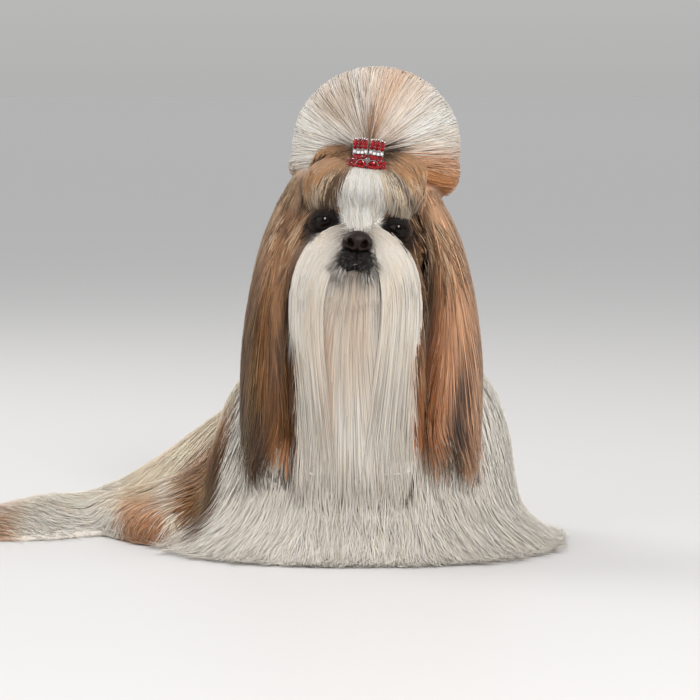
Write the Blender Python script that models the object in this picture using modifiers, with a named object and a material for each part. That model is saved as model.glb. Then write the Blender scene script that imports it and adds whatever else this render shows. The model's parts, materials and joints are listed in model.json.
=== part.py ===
"""Shih tzu in full show coat, lying on its chest with its head up, as a still life-size model.

The solids are the animal out to the tips of its coat. Metres, +Z up, and the head looks along -Y.
Head, neck, trunk and legs are modelled whole, as overlapping forms that a voxel remesh joins,
and are then parted with thin cuts. Ears, beard, topknot, nose, eyes and barrettes are forms of
their own, let into the whole with a hair's clearance.
"""

from math import copysign, cos, exp, pi, radians, sin

import bmesh
import bpy
from mathutils import Matrix, Vector

# Clearance between neighbouring solids, and how far a form is swollen to cut its seat.
GAP = 0.0003
SEAT = 0.0005

# The head's own frame: its origin is midway between the pupils, +Y runs to the back of the skull.
HEAD_PLACE = Vector((0.0, -0.015, 0.2505))
HEAD_ROLL = radians(6)
PUPIL_SPACING = 0.057
EYE_RADIUS = 0.0105
EYE_DEPTH = 0.0035
EYE_HEIGHT = 0.0
SKULL_RADII = (0.052, 0.055, 0.042)
MUZZLE_RADII = (0.028, 0.026, 0.021)
BROW_RADII = (0.050, 0.027, 0.024)
NOSE_WIDTH = 0.025
NOSE_HEIGHT = 0.0185
NOSE_LENGTH = 0.018
NOSTRIL_RADIUS = 0.0032

# The tail base lies behind and to the left of the withers, so the trunk runs back along this line.
WITHERS = Vector((0.020, 0.050, 0.0))
TAIL_BASE = Vector((-0.190, 0.150, 0.0))
FLOOR_SINK = 0.014
FLARE_HEIGHT = 0.013
TRUNK_REACH = 1.14
SKIRT_FLARE = 0.026

# The ear hair hangs from the side of the skull to just above the floor.
EAR_TOP_HEIGHT = 0.284
EAR_TIP_HEIGHT = 0.057
EAR_LEAN = 0.003
EAR_DROP = 0.005

# The beard hangs from the chin and moustache, in front of the chest.
BEARD_TOP_HEIGHT = 0.226
BEARD_TIP_HEIGHT = 0.046
BEARD_MIDDLE = -0.003
BEARD_GROOVE_DEPTH = 0.0035
BEARD_GROOVE_WIDTH = 0.014

# The topknot is a ball of hair fanned out round the barrettes.
TOPKNOT_CENTRE = Vector((0.013, 0.033, 0.311))
TOPKNOT_RADII = (0.067, 0.047, 0.063)
TOPKNOT_DIMPLE = 0.007

BARRETTE_CENTRE = Vector((0.006, -0.0135, 0.3065))
BARRETTE_SPACING = 0.0135
BARRETTE_WIDTH = 0.0115
BARRETTE_HEIGHT = 0.022
STONE_RADIUS = 0.0042
BEAD_RADIUS = 0.0014
BEADS_PER_ROW = 4

VOXEL = 0.0050
FINE_VOXEL = 0.0040
BODY_TRIANGLES = 3000
TOPKNOT_TRIANGLES = 640

# Where the whole is parted: a point of each plane and an arrow towards the piece cut off.
NAPE_CUT, NAPE_ARROW = (0.0, 0.006, 0.205), (0.0, -0.45, 0.90)
MUZZLE_CUT, MUZZLE_ARROW = (0.0, -0.013, 0.004), (0.0, -0.80, -0.45)
BROW_CUT, BROW_ARROW = (0.0, 0.0, 0.012), (0.0, -0.35, 0.94)
SCALP_CUT, SCALP_ARROW = (0.0, 0.035, 0.279), (0.13, 0.38, 1.0)
DOCK_CUT, DOCK_ARROW = (-0.190, 0.152, 0.0), (-0.8, 0.6, 0.0)
COLLAR_CUT, COLLAR_ARROW = (0.0, 0.030, 0.166), (0.0, -0.25, 0.97)
LOIN_CUT, LOIN_ARROW = (-0.140, 0.0, 0.0), (-0.855, 0.519, 0.0)
THIGH_HEIGHT = 0.046
CHEST_BACK = 0.016
ELBOW_HEIGHT = 0.060

WHITE = (0.80, 0.77, 0.71)
GOLD = (0.56, 0.34, 0.20)
BROWN = (0.30, 0.17, 0.09)
BLACK = (0.020, 0.017, 0.016)
RED = (0.45, 0.01, 0.015)
SILVER = (0.75, 0.74, 0.73)
CLEAR = (0.85, 0.85, 0.87)


def head_matrix():
    """Places the head's own frame in the model's."""
    return Matrix.Translation(HEAD_PLACE) @ Matrix.Rotation(HEAD_ROLL, 4, "Y")


HEAD = head_matrix()


def clear_scene():
    for obj in list(bpy.data.objects):
        bpy.data.objects.remove(obj, do_unlink=True)


def collection(name, shown=True):
    made = bpy.data.collections.new(name)
    bpy.context.scene.collection.children.link(made)
    made.hide_render = not shown
    return made


def material(name, colour, roughness, metallic=0.0):
    made = bpy.data.materials.new(name)
    made.use_nodes = True
    shader = made.node_tree.nodes["Principled BSDF"]
    shader.inputs["Base Color"].default_value = (*colour, 1.0)
    shader.inputs["Roughness"].default_value = roughness
    shader.inputs["Metallic"].default_value = metallic
    return made


def object_of(mesh, name, home):
    made = bpy.data.objects.new(name, mesh)
    home.objects.link(made)
    return made


def mesh_from(build, name):
    """Runs build on an empty bmesh and returns the result as a mesh with outward faces."""
    work = bmesh.new()
    build(work)
    bmesh.ops.recalc_face_normals(work, faces=work.faces)
    mesh = bpy.data.meshes.new(name)
    work.to_mesh(mesh)
    work.free()
    return mesh


def baked(obj):
    """A new mesh of the object with its modifiers applied."""
    bpy.context.view_layer.update()
    graph = bpy.context.evaluated_depsgraph_get()
    return bpy.data.meshes.new_from_object(obj.evaluated_get(graph))


def add_ellipsoid(work, centre, radii, frame=None, segments=28, rings=18):
    place = Matrix.Translation(Vector(centre)) @ Matrix.Diagonal((*radii, 1.0))
    if frame is not None:
        place = frame @ place
    bmesh.ops.create_uvsphere(work, u_segments=segments, v_segments=rings, radius=1.0, matrix=place)


def oval(centre, across, upward, half_across, half_up, half_down=None, power=2.0, sides=32):
    """One closed section, rounder or squarer by its power, with its own reach up and down."""
    half_down = half_up if half_down is None else half_down
    points = []
    for index in range(sides):
        turn = 2 * pi * index / sides
        side, rise = cos(turn), sin(turn)
        u = half_across * copysign(abs(side) ** (2 / power), side)
        v = (half_up if rise > 0 else half_down) * copysign(abs(rise) ** (2 / power), rise)
        points.append(centre + across * u + upward * v)
    return points


def hump(middle, across, half_width, height, flare, sides=28):
    """One upright section that stands on the floor, its foot spread outwards by the flare."""
    points = []
    for index in range(sides + 1):
        turn = pi * index / sides
        lift = height * sin(turn) ** 0.9
        reach = copysign(abs(cos(turn)) ** 0.93, cos(turn))
        spread = copysign(flare * exp(-lift / FLARE_HEIGHT), reach)
        points.append(middle + across * (half_width * reach + spread) + Vector((0, 0, lift)))
    for end in (points[-1], points[0]):
        points.append(end - Vector((0, 0, FLOOR_SINK)))
    return points


def add_loft(work, sections):
    """Skins a row of sections that have the same number of points, and closes both ends."""
    rings = [[work.verts.new(point) for point in section] for section in sections]
    for low, high in zip(rings, rings[1:]):
        for index, vert in enumerate(low):
            after = (index + 1) % len(low)
            work.faces.new((vert, low[after], high[after], high[index]))
    work.faces.new(rings[0][::-1])
    work.faces.new(rings[-1])


def bezier(points, share):
    """A point of the cubic curve through the first and last of four control points."""
    rest = 1 - share
    weights = (rest**3, 3 * rest**2 * share, 3 * rest * share**2, share**3)
    return sum((point * weight for point, weight in zip(points, weights)), Vector((0, 0, 0)))


def eased(rows, share):
    """The row of numbers at this share of the way through rows, eased from each to the next."""
    place = min(max(share, 0.0), 1.0) * (len(rows) - 1)
    first = min(int(place), len(rows) - 2)
    part = place - first
    before, low, high, after = (rows[min(max(first + k, 0), len(rows) - 1)] for k in (-1, 0, 1, 2))
    found = []
    for a, b, c, d in zip(before, low, high, after):
        bend = (2 * a - 5 * b + 4 * c - d) * part**2 + (3 * b - a - 3 * c + d) * part**3
        found.append(b + 0.5 * ((c - a) * part + bend))
    return found


def trunk_axis():
    """The level direction from the withers to the tail base, and the dog's left across it."""
    back = (TAIL_BASE - WITHERS).normalized()
    return back, Vector((back.y, -back.x, 0.0))


def beside_spine(along, aside, height):
    """A point this far back from the withers, this far to the dog's left and this high."""
    back, left = trunk_axis()
    return WITHERS + back * along + left * aside + Vector((0, 0, height))


def add_front(work):
    """Chest, shoulders and forequarters coat as level sections, from the floor up to the neck."""
    # height, reach forwards, reach back, half width, middle
    rows = (
        (-FLOOR_SINK, -0.126, 0.156, 0.163, -0.001),
        (0.004, -0.118, 0.150, 0.155, -0.001),
        (0.022, -0.088, 0.141, 0.131, 0.000),
        (0.048, -0.066, 0.134, 0.1225, 0.001),
        (0.082, -0.048, 0.130, 0.1175, 0.002),
        (0.113, -0.039, 0.126, 0.107, 0.003),
        (0.140, -0.033, 0.121, 0.087, 0.004),
        (0.165, -0.027, 0.115, 0.069, 0.004),
        (0.190, -0.018, 0.104, 0.056, 0.003),
        (0.220, -0.004, 0.090, 0.046, 0.001),
    )
    steps = 26
    sections = []
    for step in range(steps + 1):
        height, front, rear, half_width, middle = eased(rows, step / steps)
        centre = Vector((middle, (front + rear) / 2, height))
        reach = (rear - front) / 2
        sections.append(oval(centre, Vector((1, 0, 0)), Vector((0, 1, 0)), half_width, reach, power=2.2))
    add_loft(work, sections)


def add_trunk(work):
    """Trunk from withers to tail base, as upright sections along the spine that flare at the floor."""
    back, left = trunk_axis()
    length = (TAIL_BASE - WITHERS).length
    # bow of the spine to the left, half width, height of the back
    rows = (
        (0.000, 0.066, 0.180),
        (0.004, 0.074, 0.163),
        (0.007, 0.078, 0.136),
        (0.009, 0.078, 0.113),
        (0.009, 0.074, 0.090),
        (0.006, 0.064, 0.062),
        (0.000, 0.046, 0.038),
        (-0.006, 0.022, 0.022),
    )
    steps = 21
    sections = []
    for step in range(steps + 1):
        share = step / steps
        bow, half_width, height = eased(rows, share)
        middle = WITHERS + back * (share * TRUNK_REACH * length) + left * bow
        sections.append(hump(middle, left, half_width, height, SKIRT_FLARE * min(1.0, half_width / 0.05)))
    add_loft(work, sections)


def add_limb(work, points, radii, squash=1.0):
    """A limb as round sections along straight bones, each joint a ball of its own."""
    for point, radius in zip(points, radii):
        add_ellipsoid(work, point, (radius, radius, radius * squash), segments=20, rings=12)
    for start, end, low, high in zip(points, points[1:], radii, radii[1:]):
        along = (end - start).normalized()
        across = along.cross(Vector((0, 0, 1))).normalized()
        upward = across.cross(along)
        sections = []
        for step in range(7):
            share = step / 6
            radius = low + (high - low) * share
            middle = start.lerp(end, share)
            sections.append(oval(middle, across, upward, radius, radius * squash, sides=20))
        add_loft(work, sections)


def add_hind_legs(work):
    """Both hind legs folded beside the belly, the right one further out than the left."""
    for spread in (-0.094, 0.056):
        hip = beside_spine(0.165, spread * 0.10, 0.030)
        stifle = beside_spine(0.120, spread * 0.62, 0.026)
        hock = beside_spine(0.190 - spread * 0.10, spread * 0.90, 0.012)
        toes = beside_spine(0.140, spread * 1.25, 0.010)
        add_limb(work, (hip, stifle), (0.036, 0.036), squash=0.85)
        add_limb(work, (stifle, hock), (0.034, 0.026), squash=0.80)
        add_limb(work, (stifle, toes), (0.034, 0.026), squash=0.80)
        add_limb(work, (hock, toes), (0.026, 0.026), squash=0.80)


def add_forelegs(work):
    for side in (-1, 1):
        elbow = Vector((0.056 * side, 0.010, 0.030))
        wrist = Vector((0.048 * side, -0.050, 0.018))
        paw = Vector((0.044 * side, -0.084, 0.008))
        add_limb(work, (elbow, wrist, paw), (0.034, 0.022, 0.016), squash=0.9)


def add_tail(work):
    """The tail laid out on the floor, its plume spread to both sides of the bone."""
    line = (
        Vector((-0.168, 0.140, 0.0)),
        Vector((-0.215, 0.125, 0.0)),
        Vector((-0.240, 0.038, 0.0)),
        Vector((-0.340, 0.034, 0.0)),
    )
    # half width, height over the middle
    rows = ((0.036, 0.034), (0.040, 0.029), (0.045, 0.0255), (0.046, 0.0225), (0.038, 0.017), (0.008, 0.006))
    steps = 16
    sections = []
    for step in range(steps + 1):
        share = step / steps
        ahead = bezier(line, min(share + 0.02, 1.0)) - bezier(line, max(share - 0.02, 0.0))
        across = ahead.cross(Vector((0, 0, 1))).normalized()
        half_width, rise = eased(rows, share)
        sections.append(hump(bezier(line, share), across, half_width, rise, SKIRT_FLARE * 0.3, sides=18))
    add_loft(work, sections)


def add_neck(work):
    """Neck and mane, from the back of the skull down to the withers."""
    # middle, reach back, half width, half depth
    rows = (
        (0.000, 0.044, 0.270, 0.047, 0.045),
        (0.001, 0.048, 0.240, 0.050, 0.048),
        (0.003, 0.051, 0.210, 0.054, 0.052),
        (0.006, 0.054, 0.180, 0.064, 0.056),
        (0.008, 0.056, 0.150, 0.074, 0.058),
    )
    steps = 12
    sections = []
    for step in range(steps + 1):
        middle, rear, height, half_width, half_depth = eased(rows, step / steps)
        centre = Vector((middle, rear, height))
        sections.append(oval(centre, Vector((1, 0, 0)), Vector((0, 1, 0)), half_width, half_depth))
    add_loft(work, sections)


def add_head(work):
    """Skull, cheeks, swept-up brow, muzzle, chin and the roots of the moustache."""
    add_ellipsoid(work, (0, 0.045, 0.008), SKULL_RADII, HEAD)
    add_ellipsoid(work, (0, 0.050, -0.022), (0.050, 0.046, 0.036), HEAD)
    add_ellipsoid(work, (0, 0.012, 0.030), BROW_RADII, HEAD)
    add_ellipsoid(work, (0, 0.002, -0.006), (0.019, 0.018, 0.022), HEAD)
    add_ellipsoid(work, (0, -0.012, -0.022), MUZZLE_RADII, HEAD)
    add_ellipsoid(work, (0, -0.016, -0.037), (0.018, 0.016, 0.012), HEAD)
    for side in (-1, 1):
        add_ellipsoid(work, (0.028 * side, 0.026, -0.020), (0.028, 0.028, 0.031), HEAD)
        add_ellipsoid(work, (0.021 * side, -0.013, -0.024), (0.020, 0.019, 0.019), HEAD)
        add_ellipsoid(work, (0.032 * side, -0.008, -0.040), (0.021, 0.021, 0.026), HEAD)


def remeshed(name, build, home, voxel, smoothing, target):
    """Joins overlapping forms into one skin, softens it and brings it near a face count."""
    rough = object_of(mesh_from(build, name), name, home)
    join = rough.modifiers.new("join", "REMESH")
    join.mode = "VOXEL"
    join.voxel_size = voxel
    soften = rough.modifiers.new("soften", "SMOOTH")
    soften.factor = 0.5
    soften.iterations = smoothing
    whole = object_of(baked(rough), name + "_whole", home)
    thin = whole.modifiers.new("thin", "DECIMATE")
    thin.ratio = min(1.0, target / (2 * len(whole.data.polygons)))
    thin.use_collapse_triangulate = True
    made = object_of(baked(whole), name + "_form", home)
    bpy.data.objects.remove(rough)
    bpy.data.objects.remove(whole)
    return made


def add_half_space(work, point, arrow, margin):
    """A huge box cut back to the side of a plane that the arrow points to, shifted by margin."""
    bmesh.ops.create_cube(work, size=3.0)
    ahead = arrow.normalized()
    bmesh.ops.bisect_plane(
        work,
        geom=work.verts[:] + work.edges[:] + work.faces[:],
        plane_co=point + ahead * margin,
        plane_no=ahead,
        clear_inner=True,
    )
    bmesh.ops.holes_fill(work, edges=[edge for edge in work.edges if edge.is_boundary])


def combined(obj, cutter, operation):
    """The mesh of obj after one exact Boolean with cutter."""
    step = obj.modifiers.new("cut", "BOOLEAN")
    step.operation = operation
    step.solver = "EXACT"
    step.object = cutter
    made = baked(obj)
    obj.modifiers.remove(step)
    return made


def ahead_of(obj, point, arrow, margin, home):
    """The mesh of obj on the side of the plane that the arrow points to."""
    room = mesh_from(lambda work: add_half_space(work, point, arrow, margin), "room")
    cutter = object_of(room, "room", home)
    made = combined(obj, cutter, "INTERSECT")
    bpy.data.objects.remove(cutter)
    return made


def part(piece, name, plane, workshop):
    """Parts piece by a thin cut along a plane; returns what lies ahead of it and what is left."""
    point, arrow = plane
    ahead = object_of(ahead_of(piece, point, arrow, GAP / 2, workshop), name, workshop)
    piece.data = ahead_of(piece, point, -arrow, GAP / 2, workshop)
    return ahead, piece


def finished(piece, name, finish, home, workshop):
    piece.name = name
    workshop.objects.unlink(piece)
    home.objects.link(piece)
    dress(piece, finish)


def dress(obj, finish):
    obj.data.materials.clear()
    obj.data.materials.append(finish)
    obj.data.shade_smooth()
    obj.data.set_sharp_from_angle(angle=radians(50))


def seat(whole, form, home):
    """Cuts room for a form, swollen by the seat's clearance, out of the whole."""
    swollen = object_of(form.data.copy(), "swollen", home)
    grow = swollen.modifiers.new("grow", "DISPLACE")
    grow.mid_level = 0.0
    grow.strength = SEAT
    bigger = object_of(baked(swollen), "bigger", home)
    whole.data = combined(whole, bigger, "DIFFERENCE")
    bpy.data.objects.remove(swollen)
    bpy.data.objects.remove(bigger)


def make_ear(side, name, home):
    """One ear's hair, hanging from the side of the skull and lying on the shoulder."""
    # distance from the middle, distance back, half thickness, half depth
    rows = (
        (0.045, 0.020, 0.010, 0.014),
        (0.0585, 0.020, 0.013, 0.025),
        (0.066, 0.016, 0.0155, 0.030),
        (0.069, 0.008, 0.0185, 0.033),
        (0.071, -0.002, 0.021, 0.032),
        (0.0715, -0.014, 0.0225, 0.030),
        (0.071, -0.026, 0.023, 0.026),
        (0.070, -0.037, 0.0225, 0.021),
        (0.070, -0.042, 0.021, 0.013),
    )
    steps = 10
    sections = []
    for step in range(steps + 1):
        share = step / steps
        aside, rear, thick, deep = eased(rows, share)
        height = EAR_TOP_HEIGHT + (EAR_TIP_HEIGHT - EAR_TOP_HEIGHT) * share
        lean, drop = EAR_LEAN * (1 - share), EAR_DROP * side * (1 - share)
        centre = Vector((aside * side + lean, rear, height - drop))
        sections.append(
            oval(centre, Vector((1, 0, 0)), Vector((0, 1, 0)), thick, deep, power=2.3, sides=14)
        )
    return object_of(mesh_from(lambda work: add_loft(work, sections), name), name, home)


def make_beard(home):
    """Beard and moustache ends as one curtain, a little hollow down its middle."""
    # middle's distance forward, half width, half depth
    rows = (
        (-0.024, 0.026, 0.008),
        (-0.030, 0.045, 0.0155),
        (-0.036, 0.051, 0.018),
        (-0.040, 0.053, 0.0175),
        (-0.044, 0.053, 0.016),
        (-0.049, 0.053, 0.015),
        (-0.055, 0.052, 0.014),
        (-0.064, 0.048, 0.012),
        (-0.074, 0.038, 0.006),
    )
    steps = 10
    sections = []
    for step in range(steps + 1):
        share = step / steps
        ahead, wide, deep = eased(rows, share)
        height = BEARD_TOP_HEIGHT + (BEARD_TIP_HEIGHT - BEARD_TOP_HEIGHT) * share
        centre = Vector((BEARD_MIDDLE, ahead, height))
        section = oval(centre, Vector((1, 0, 0)), Vector((0, 1, 0)), wide, deep, power=2.3, sides=20)
        for point in section:
            if point.y < centre.y:
                off_middle = (point.x - BEARD_MIDDLE) / BEARD_GROOVE_WIDTH
                point.y += BEARD_GROOVE_DEPTH * exp(-off_middle * off_middle)
        sections.append(section)
    return object_of(mesh_from(lambda work: add_loft(work, sections), "beard"), "beard", home)


def add_topknot(work):
    """A ball with two low side lobes, the right one lower, dimpled where the barrettes sit."""
    add_ellipsoid(work, TOPKNOT_CENTRE, TOPKNOT_RADII, segments=40, rings=28)
    add_ellipsoid(work, (0.056, 0.036, 0.291), (0.024, 0.032, 0.024))
    add_ellipsoid(work, (-0.036, 0.036, 0.295), (0.021, 0.030, 0.022))


def make_topknot(home, workshop):
    form = remeshed("ball", add_topknot, workshop, FINE_VOXEL, 6, TOPKNOT_TRIANGLES)
    for vert in form.data.vertices:
        if vert.co.y < TOPKNOT_CENTRE.y:
            off = (vert.co - BARRETTE_CENTRE) * Vector((1, 0, 1)).length
            spread = (off.x**2 + off.z**2) / 0.026**2
            vert.co.y += TOPKNOT_DIMPLE * exp(-spread)
    mesh = ahead_of(form, Vector(SCALP_CUT), Vector(SCALP_ARROW), 0.0, workshop)
    bpy.data.objects.remove(form)
    return object_of(mesh, "topknot", home)


def make_eye(side, name, home):
    centre = (PUPIL_SPACING / 2 * side, EYE_DEPTH, EYE_HEIGHT)
    radii = (EYE_RADIUS, EYE_RADIUS, EYE_RADIUS)

    def build(work):
        add_ellipsoid(work, centre, radii, HEAD, segments=14, rings=8)

    return object_of(mesh_from(build, name), name, home)


def make_nose(home, workshop):
    """The nose leather: a rounded block with two nostrils and the groove between them."""
    middle = Vector((-0.001, -0.0345, -0.0125))
    radii = (NOSE_WIDTH / 2, NOSE_LENGTH / 2, NOSE_HEIGHT / 2)

    def leather(work):
        add_ellipsoid(work, middle, radii, HEAD, segments=14, rings=9)

    def openings(work):
        for side in (-1, 1):
            place = middle + Vector((0.0062 * side, -radii[1] + 0.0006, -0.0015))
            add_ellipsoid(work, place, (NOSTRIL_RADIUS, 0.004, NOSTRIL_RADIUS * 0.8), HEAD, 6, 5)

    block = object_of(mesh_from(leather, "leather"), "leather", workshop)
    holes = object_of(mesh_from(openings, "openings"), "openings", workshop)
    nose = object_of(combined(block, holes, "DIFFERENCE"), "nose", home)
    bpy.data.objects.remove(block)
    bpy.data.objects.remove(holes)
    return nose


def make_barrette(side, word, home, silver, red, clear):
    """One barrette: a silver plate with a faceted red stone over and under a row of beads."""
    middle = BARRETTE_CENTRE + Vector((BARRETTE_SPACING / 2 * side, 0.0, 0.0006 * -side))
    turn = HEAD_ROLL + radians(4 * side)
    frame = Matrix.Translation(middle) @ Matrix.Rotation(turn, 4, "Y")
    plate_thickness = 0.0010

    def plate(work):
        size = Matrix.Diagonal((BARRETTE_WIDTH, plate_thickness, BARRETTE_HEIGHT, 1.0))
        bmesh.ops.create_cube(work, size=1.0, matrix=frame @ size)

    def stone(work, level, flare):
        lying = Matrix.Rotation(pi / 2, 4, "Y") @ Matrix.Rotation(pi / 8, 4, "Z")
        front = -plate_thickness / 2 - GAP - STONE_RADIUS * cos(pi / 8)
        place = Matrix.Translation((flare * side, front, level))
        half = BARRETTE_WIDTH / 2
        waist = half * 0.62
        sections = []
        for along, radius in ((-half, 0.62), (-waist, 1.0), (waist, 1.0), (half, 0.62)):
            ring = []
            for corner in range(8):
                angle = 2 * pi * corner / 8
                spot = Vector((cos(angle) * radius * STONE_RADIUS, sin(angle) * radius * STONE_RADIUS, along))
                ring.append(frame @ place @ lying @ spot)
            sections.append(ring)
        add_loft(work, sections)

    def beads(work):
        pitch = BARRETTE_WIDTH / BEADS_PER_ROW
        front = -plate_thickness / 2 - GAP - BEAD_RADIUS - 0.0018
        steps = BEADS_PER_ROW * 3
        sections = []
        for step in range(steps + 1):
            along = -BARRETTE_WIDTH / 2 + BARRETTE_WIDTH * step / steps
            swell = abs(sin(pi * along / pitch)) if BEADS_PER_ROW % 2 == 0 else abs(cos(pi * along / pitch))
            radius = BEAD_RADIUS * (0.55 + 0.45 * swell**0.6)
            ring = oval(Vector((along, front, 0)), Vector((0, 1, 0)), Vector((0, 0, 1)), radius, radius, sides=6)
            sections.append([frame @ point for point in ring])
        add_loft(work, sections)

    level = BARRETTE_HEIGHT / 2 - STONE_RADIUS
    shapes = (
        ("plate", plate, silver),
        ("stone_upper", lambda work: stone(work, level, 0.0), red),
        ("stone_lower", lambda work: stone(work, -level, 0.0012), red),
        ("beads", beads, clear),
    )
    made = []
    for part, build, finish in shapes:
        name = f"barrette_{word}_{part}"
        obj = object_of(mesh_from(build, name), name, home)
        obj.data.materials.append(finish)
        made.append(obj)
    return made


def barrette_room(workshop):
    """One block behind both barrettes, so that their shared seat has plain sides."""

    def build(work):
        frame = Matrix.Translation(BARRETTE_CENTRE) @ Matrix.Rotation(HEAD_ROLL, 4, "Y")
        size = Matrix.Diagonal((2.9 * BARRETTE_WIDTH, 0.012, 1.16 * BARRETTE_HEIGHT, 1.0))
        place = Matrix.Translation(Vector((0.0, -0.0051, 0.0)))
        bmesh.ops.create_cube(work, size=1.0, matrix=frame @ place @ size)

    return object_of(mesh_from(build, "room"), "room", workshop)


def part_head(block, finishes, home, workshop):
    """Parts the muzzle and the forehead from the head, in planes of the head's own frame."""
    turn = HEAD.to_3x3()
    muzzle, block = part(block, "front", (HEAD @ Vector(MUZZLE_CUT), turn @ Vector(MUZZLE_ARROW)), workshop)
    forehead, block = part(block, "top", (HEAD @ Vector(BROW_CUT), turn @ Vector(BROW_ARROW)), workshop)
    finished(muzzle, "muzzle", finishes["white"], home, workshop)
    finished(forehead, "forehead", finishes["gold"], home, workshop)
    finished(block, "head", finishes["brown"], home, workshop)


def part_body(block, finishes, home, workshop):
    """Parts tail, neck, rump, chest and the four legs from the trunk."""
    _, left = trunk_axis()
    down = Vector((0, 0, -1))
    tail, block = part(block, "tail", (Vector(DOCK_CUT), Vector(DOCK_ARROW)), workshop)
    neck, block = part(block, "neck", (Vector(COLLAR_CUT), Vector(COLLAR_ARROW)), workshop)
    rump, block = part(block, "rump", (Vector(LOIN_CUT), Vector(LOIN_ARROW)), workshop)
    thighs, rump = part(rump, "thighs", (Vector((0, 0, THIGH_HEIGHT)), down), workshop)
    hind_left, hind_right = part(thighs, "hind", (WITHERS, left), workshop)
    chest, block = part(block, "chest", (Vector((0, CHEST_BACK, 0)), Vector((0, -1, 0))), workshop)
    fore, chest = part(chest, "fore", (Vector((0, 0, ELBOW_HEIGHT)), down), workshop)
    fore_left, fore_right = part(fore, "fore_left", (Vector((0, 0, 0)), Vector((1, 0, 0))), workshop)
    for piece, name, coat in (
        (tail, "tail", "gold"),
        (neck, "neck", "white"),
        (rump, "rump", "gold"),
        (hind_left, "hind_leg_left", "white"),
        (hind_right, "hind_leg_right", "gold"),
        (chest, "chest", "white"),
        (fore_left, "foreleg_left", "white"),
        (fore_right, "foreleg_right", "white"),
        (block, "trunk", "white"),
    ):
        finished(piece, name, finishes[coat], home, workshop)


def centre_on_floor(home):
    """Moves the model so that its origin is the middle of its footprint, at the floor."""
    bpy.context.view_layer.update()
    corners = [obj.matrix_world @ Vector(corner) for obj in home.objects for corner in obj.bound_box]
    low = Vector([min(corner[axis] for corner in corners) for axis in range(3)])
    high = Vector([max(corner[axis] for corner in corners) for axis in range(3)])
    shift = Vector((-(low.x + high.x) / 2, -(low.y + high.y) / 2, -low.z))
    for obj in home.objects:
        obj.data.transform(Matrix.Translation(shift))


def main():
    clear_scene()
    home = collection("shih_tzu")
    workshop = collection("workshop", shown=False)
    finishes = {
        "white": material("white_coat", WHITE, 0.55),
        "gold": material("gold_coat", GOLD, 0.55),
        "brown": material("brown_coat", BROWN, 0.55),
        "dark": material("dark_skin", BLACK, 0.35),
        "eye": material("eye", BLACK, 0.05),
    }
    silver = material("silver", SILVER, 0.2, metallic=1.0)
    red = material("red_stone", RED, 0.1)
    clear = material("clear_stone", CLEAR, 0.05)

    def build(work):
        for add in (add_front, add_trunk, add_hind_legs, add_forelegs, add_tail, add_neck, add_head):
            add(work)

    whole = remeshed("animal", build, workshop, VOXEL, 5, BODY_TRIANGLES)
    whole.data = ahead_of(whole, Vector((0, 0, 0)), Vector((0, 0, 1)), 0.0, workshop)

    topknot = make_topknot(home, workshop)
    beard = make_beard(home)
    ears = [make_ear(1, "ear_left", home), make_ear(-1, "ear_right", home)]
    eyes = [make_eye(1, "eye_left", home), make_eye(-1, "eye_right", home)]
    nose = make_nose(home, workshop)
    barrettes = []
    for side, word in ((-1, "right"), (1, "left")):
        barrettes += make_barrette(side, word, home, silver, red, clear)

    for ear in ears:
        seat(ear, topknot, workshop)
        seat(ear, beard, workshop)
        dress(ear, finishes["brown"])
    setting = barrette_room(workshop)
    seat(topknot, setting, workshop)
    for form in (topknot, beard, nose, *ears, *eyes, setting):
        seat(whole, form, workshop)
    dress(topknot, finishes["white"])
    dress(beard, finishes["white"])
    dress(nose, finishes["dark"])
    for eye in eyes:
        dress(eye, finishes["eye"])

    head, body = part(whole, "head", (Vector(NAPE_CUT), Vector(NAPE_ARROW)), workshop)
    part_head(head, finishes, home, workshop)
    part_body(body, finishes, home, workshop)
    centre_on_floor(home)


main()
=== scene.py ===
"""Look of the shih tzu: one skin under a coat of solid locks, with eyes, nose and hair slides.

Places are worked out in the dog's own frame (metres, +Z up, the head looks along -Y, the origin on
the floor under the head) and are shifted to the model's frame when a mesh is made.
"""

import json
from itertools import product
from math import cos, pi, radians, sin

import bmesh
import bpy
import numpy as np
from mathutils import Matrix, Vector
from mathutils.bvhtree import BVHTree
from mathutils.kdtree import KDTree

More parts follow.
